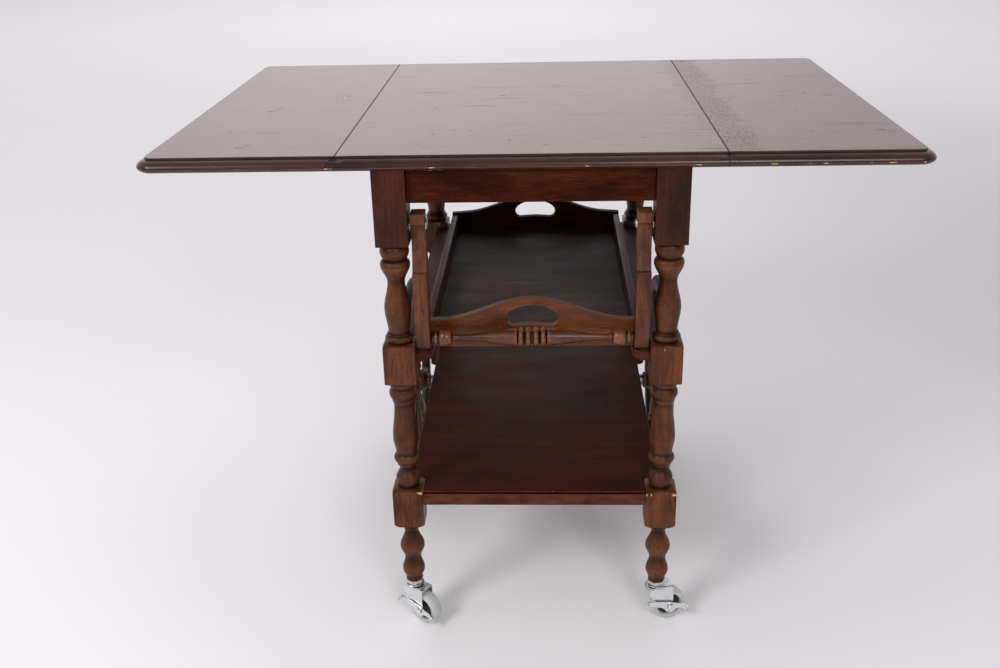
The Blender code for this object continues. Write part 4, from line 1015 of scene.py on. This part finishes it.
def build_caster(side_name):
    """Local X trails from the stem, local Y is along the little axle, local Z is up."""
    label = "caster_" + side_name
    roll, stem = (JOINTS[label + end] for end in ("_roll", "_swivel_joint"))
    across, (spin_x, spin_y, axle_z) = Vector(roll["axis"]), roll["pos_m"]
    forward = across.cross(Vector((0, 0, 1)))
    stem_x, stem_y = stem["pos_m"][:2]
    stand = Matrix.Translation((stem_x, stem_y, 0)) @ Matrix(
        (forward, across, Vector((0, 0, 1)))).transposed().to_4x4()
    lead = dist((spin_x, spin_y), (stem_x, stem_y)) / MM
    radius = axle_z / MM
    axle = aimed(roll["pos_m"], across)
    body, roller = label + "_swivel", label + "_roller"

    shape = bmesh.new()
    layers(shape)
    build_fork(shape, stand)
    keep(label + "_bent_fork", shape, zinc, body, [label + "_fork"], sharp=40,
         weigh=True)

    shape = bmesh.new()
    hexagon(shape, 13.2, 61.2, low("leg_front_" + side_name).z / MM - 61.5, stand)
    washer = [(4, 58), (8.6, 58), (8.8, 59), (13, 59.2), (13.6, 59.7), (13.6, 60.4),
              (13.1, 60.9), (6, 61.1)]
    lathe(shape, mm(washer), stand, 40)
    keep(label + "_nut_and_washer", shape, nut_steel, "frame", [label + "_stem"],
         sharp=30)

    wide = 9.2
    hub = [(16.6, wide - 4.2), (17.2, wide - 3), (17.6, wide - 0.6), (18.3, wide),
           (20, wide - 0.1), (21.2, wide - 0.6)]
    curve = [(radius * 0.875 + radius * 0.125 * sin(t), (wide - 1) * cos(t))
             for t in (pi * i / 14 for i in range(1, 14))]
    turned(label + "_tread_wheel", mm(hub + curve + mirrored(hub, along=-1)), axle, 64, tread,
           roller, [label + "_wheel"], 34, True)
    # A near-black disc set in the hub's recess paints the shade there.
    face = [(3.4, wide - 0.2), (5.8, wide - 0.2), (6.3, wide - 1), (6.8, wide - 4),
            (8.5, wide - 5.2), (15.4, wide - 5), (16.8, wide - 4)]
    turned(label + "_wheel_core", mm(face + mirrored(face, along=-1)), axle, 48, recess_shade,
           roller, [label + "_wheel"], closed=True)

    shape = bmesh.new()
    far = FORK_HALF + 4.1
    lathe(shape, mm([(2.6, -far - 1.2), (2.6, far - 1), (2, far)]), axle, 24)
    hexagon(shape, 5.2, FORK_HALF + 0.4, 3.2, axle)
    rivet = [(3, -far - 1.8), (4.3, -far - 1.4), (4.7, -far - 0.8), (4.7, 0.4 - far),
             (2.6, 0.6 - far)]
    lathe(shape, mm(rivet), axle, 32)
    keep(label + "_axle_bolt", shape, zinc, body, [label + "_axle"], sharp=34)

    lever_y = -FORK_HALF - 2.1
    outline = [(-16.4, 38.6), (-17.6, 36.8), (-17.8, 33), (-17.2, 31.2), (-6, 28.6), (4.8, 25.8),
               *arc((lead, radius), 8.8, 204, 338, 16), (34.5, 20.6), (38.6, 18.6), (40.8, 16),
               (42.4, 15.1), (44.2, 15.6), (45, 17.2), (44.6, 20.8), (42.4, 23.6), (38.8, 25.4),
               (30, 29), (18.4, 33), (6, 35.4), (-6, 37.4)]
    hole = arc((lead, radius), 2.9, 0, 345, 23)
    shape = bmesh.new()
    slab(shape, mm(outline), 0.0017, upright(stand, lever_y * MM), 0.0003, 0.0, [mm(hole)])
    back_ear = [(-17.8, 31.8), (-17.8, 37.6), (-17, 38.2), (-16, 37.8), (-16, 31.8)]
    toe_ear = [(42.6, 15.8), (43, 21.2), (44, 21.6), (44.6, 21), (44.2, 15.6)]
    for ear, reach_out in ((back_ear, 6.8), (toe_ear, 6.4)):
        slab(shape, mm(ear), reach_out * MM, upright(stand, (lever_y - reach_out / 2) * MM),
             0.0005, wear=0.0)
    collar = [(8, -1), (7.8, 0.4), (7, 1.2), (6.2, 0.8), (6, -1)]
    lathe(shape, mm(collar), axle @ Matrix.Translation((0, 0, lever_y * MM))
          @ Matrix.Rotation(pi, 4, "X"), 32)
    keep(label + "_foot_brake", shape, zinc, label + "_brake",
         [label + "_brake_lever"], sharp=34, weigh=True)


for side_name in SIDES:
    build_caster(side_name)


# ---- hinge plates, braces and their screws ----
def screw_head(shape, centre, turn):
    """A slotted countersunk head looking down, its slot cut as two half discs."""
    stand = Matrix.Translation(centre) @ Matrix.Rotation(turn, 4, "Z")
    for side in (-1, 1):
        outline = [(x, side * y) for x, y in arc((0, 0), SCREW_RADIUS, 8, 172, 12)]
        slab(shape, outline, 0.0010, stand, 0.0002, wear=0.0)


def dress(node, look):
    """Puts a look on a CAD piece that is shown as it is."""
    materials = frame["nodes"][node].data.materials
    materials.clear()
    materials.append(look)


random.seed(41)
for side_name, side in SIDES.items():
    on_frame, on_leaf = bmesh.new(), bmesh.new()
    for place in ("front", "rear"):
        hinge = f"hinge_{side_name}_{place}_"
        for kind, shape, spots in (("fixed", on_frame, (-0.0105, -0.0225)),
                                   ("leaf", on_leaf, (0.0120, 0.0240, 0.0360))):
            plate = hinge + kind + "_plate"
            for k, spot in enumerate(spots):
                stagger = 0.0075 if k % 2 else -0.0075
                screw_head(shape, (side * (SEAM + spot), middle(plate).y + stagger,
                                   AXIS_Z - 0.0041), random.uniform(0, pi))
            dress(plate, brassed)
        dress(hinge + "pin", brassed)
    bracket = "brace_bracket_" + side_name
    for spot in (0.008, 0.016):
        screw_head(on_frame, (side * (abs(middle(bracket).x) - 0.006), high(bracket).y - spot,
                              high(bracket).z - 0.0023), random.uniform(0, pi))
    keep("hinge_screws_frame_" + side_name, on_frame, brassed, "frame",
         sharp=30, weigh=True)
    keep("hinge_screws_leaf_" + side_name, on_leaf, brassed, "leaf_" + side_name,
         sharp=30, weigh=True)
    dress(bracket, steel)
    dress("brace_" + side_name, steel)


# ---- floor, light and camera ----
def build_floor():
    shape = bmesh.new()
    size = 30.0
    corners = ((-size, -size), (size, -size), (size, size), (-size, size))
    shape.faces.new([shape.verts.new((x, y, 0.0)) for x, y in corners])
    data = bpy.data.meshes.new("studio_floor")
    shape.to_mesh(data)
    shape.free()
    floor = placed("studio_floor", data)
    look, g, shader = begin("paper_floor")
    clouds = g.noise(1.4, 3, 0.5)
    colour = g.blend(clouds, (0.865, 0.845, 0.865), (0.895, 0.88, 0.90))
    # Painted shade: a soft round dark patch on the floor to the right, behind the trolley.
    round_about = g.mapped((0.62, 0.34, 1.0), shift=(-0.95, -0.35, 0))
    floor_shade = g.put("TexGradient", {"Vector": round_about}, gradient_type="SPHERICAL")
    floor_shade = g.spread(floor_shade.outputs["Fac"], 0.0, 1.0, 0.0, 0.75)
    colour = g.blend(floor_shade, colour, (0.53, 0.49, 0.51))
    fine = g.noise(90, 3, 0.6)
    close(g, shader, colour, g.spread(fine, 0.2, 0.8, 0.55, 0.65), fine, 0.04, 0.0005)
    data.materials.append(look)


build_floor()


def panel_light(name, place, target, size, power, tall=None):
    data = bpy.data.lights.new(name, "AREA")
    data.shape = "RECTANGLE"
    data.size = size
    data.size_y = tall or size
    data.energy = power
    lamp = placed(name, data)
    lamp.location = place
    lamp.rotation_mode = "QUATERNION"
    lamp.rotation_quaternion = (Vector(target) - Vector(place)).to_track_quat("-Z", "Y")
    lamp.visible_camera = False


panel_light("key", (-2.1, -2.5, 2.5), (0, 0, 0.4), 1.1, 58)
panel_light("fill", (0.9, -3.0, 2.2), (0, 0, 0.4), 1.0, 34)
panel_light("backdrop", (-0.6, 6.5, 3.2), (-0.6, 6.8, 0), 4.0, 36, 2.5)

world = bpy.data.worlds.new("studio_air")
scene.world = world
world.use_nodes = True
air = Graph(world.node_tree)
heading = air.put("SeparateXYZ", {0: air.put("TexCoord").outputs["Generated"]}).outputs
side, back = heading[0], heading[1]
from_back = air.calc("ADD", air.spread(back, -0.55, 0.80, 0.34, 1.14),
                     air.spread(back, 0.95, 0.992, 0.0, 0.45))
from_left = air.mul(air.spread(side, -0.30, 0.02, 1.20, 0.94),
                    air.spread(side, 0.05, 0.45, 1.0, 0.94))
glow = air.tree.nodes["Background"].inputs
air.tree.links.new(air.mul(from_back, from_left), glow["Strength"])
glow["Color"].default_value = (0.945, 0.925, 0.95, 1)

CAMERA_PLACE = (0.0196, -1.6112, 1.0065)
PITCH, YAW, ROLL = radians(23.209), radians(2.690), radians(1.348)
FOCAL_TO_WIDTH = 1.0972
SENSOR_WIDTH = 36.0
camera_data = bpy.data.cameras.new("camera")
camera = placed("camera", camera_data)
camera_data.sensor_width = SENSOR_WIDTH
camera_data.lens = SENSOR_WIDTH * FOCAL_TO_WIDTH
ahead = Vector((-sin(YAW) * cos(PITCH), cos(YAW) * cos(PITCH),
                -sin(PITCH)))
right = Vector((cos(YAW), sin(YAW), 0))
down = ahead.cross(right)
right, down = (cos(ROLL) * right + sin(ROLL) * down,
               -sin(ROLL) * right + cos(ROLL) * down)
camera.matrix_world = Matrix.Translation(CAMERA_PLACE) @ Matrix(
    (right, -down, -ahead)).transposed().to_4x4()
scene.camera = camera
scene.view_settings.view_transform = "Standard"
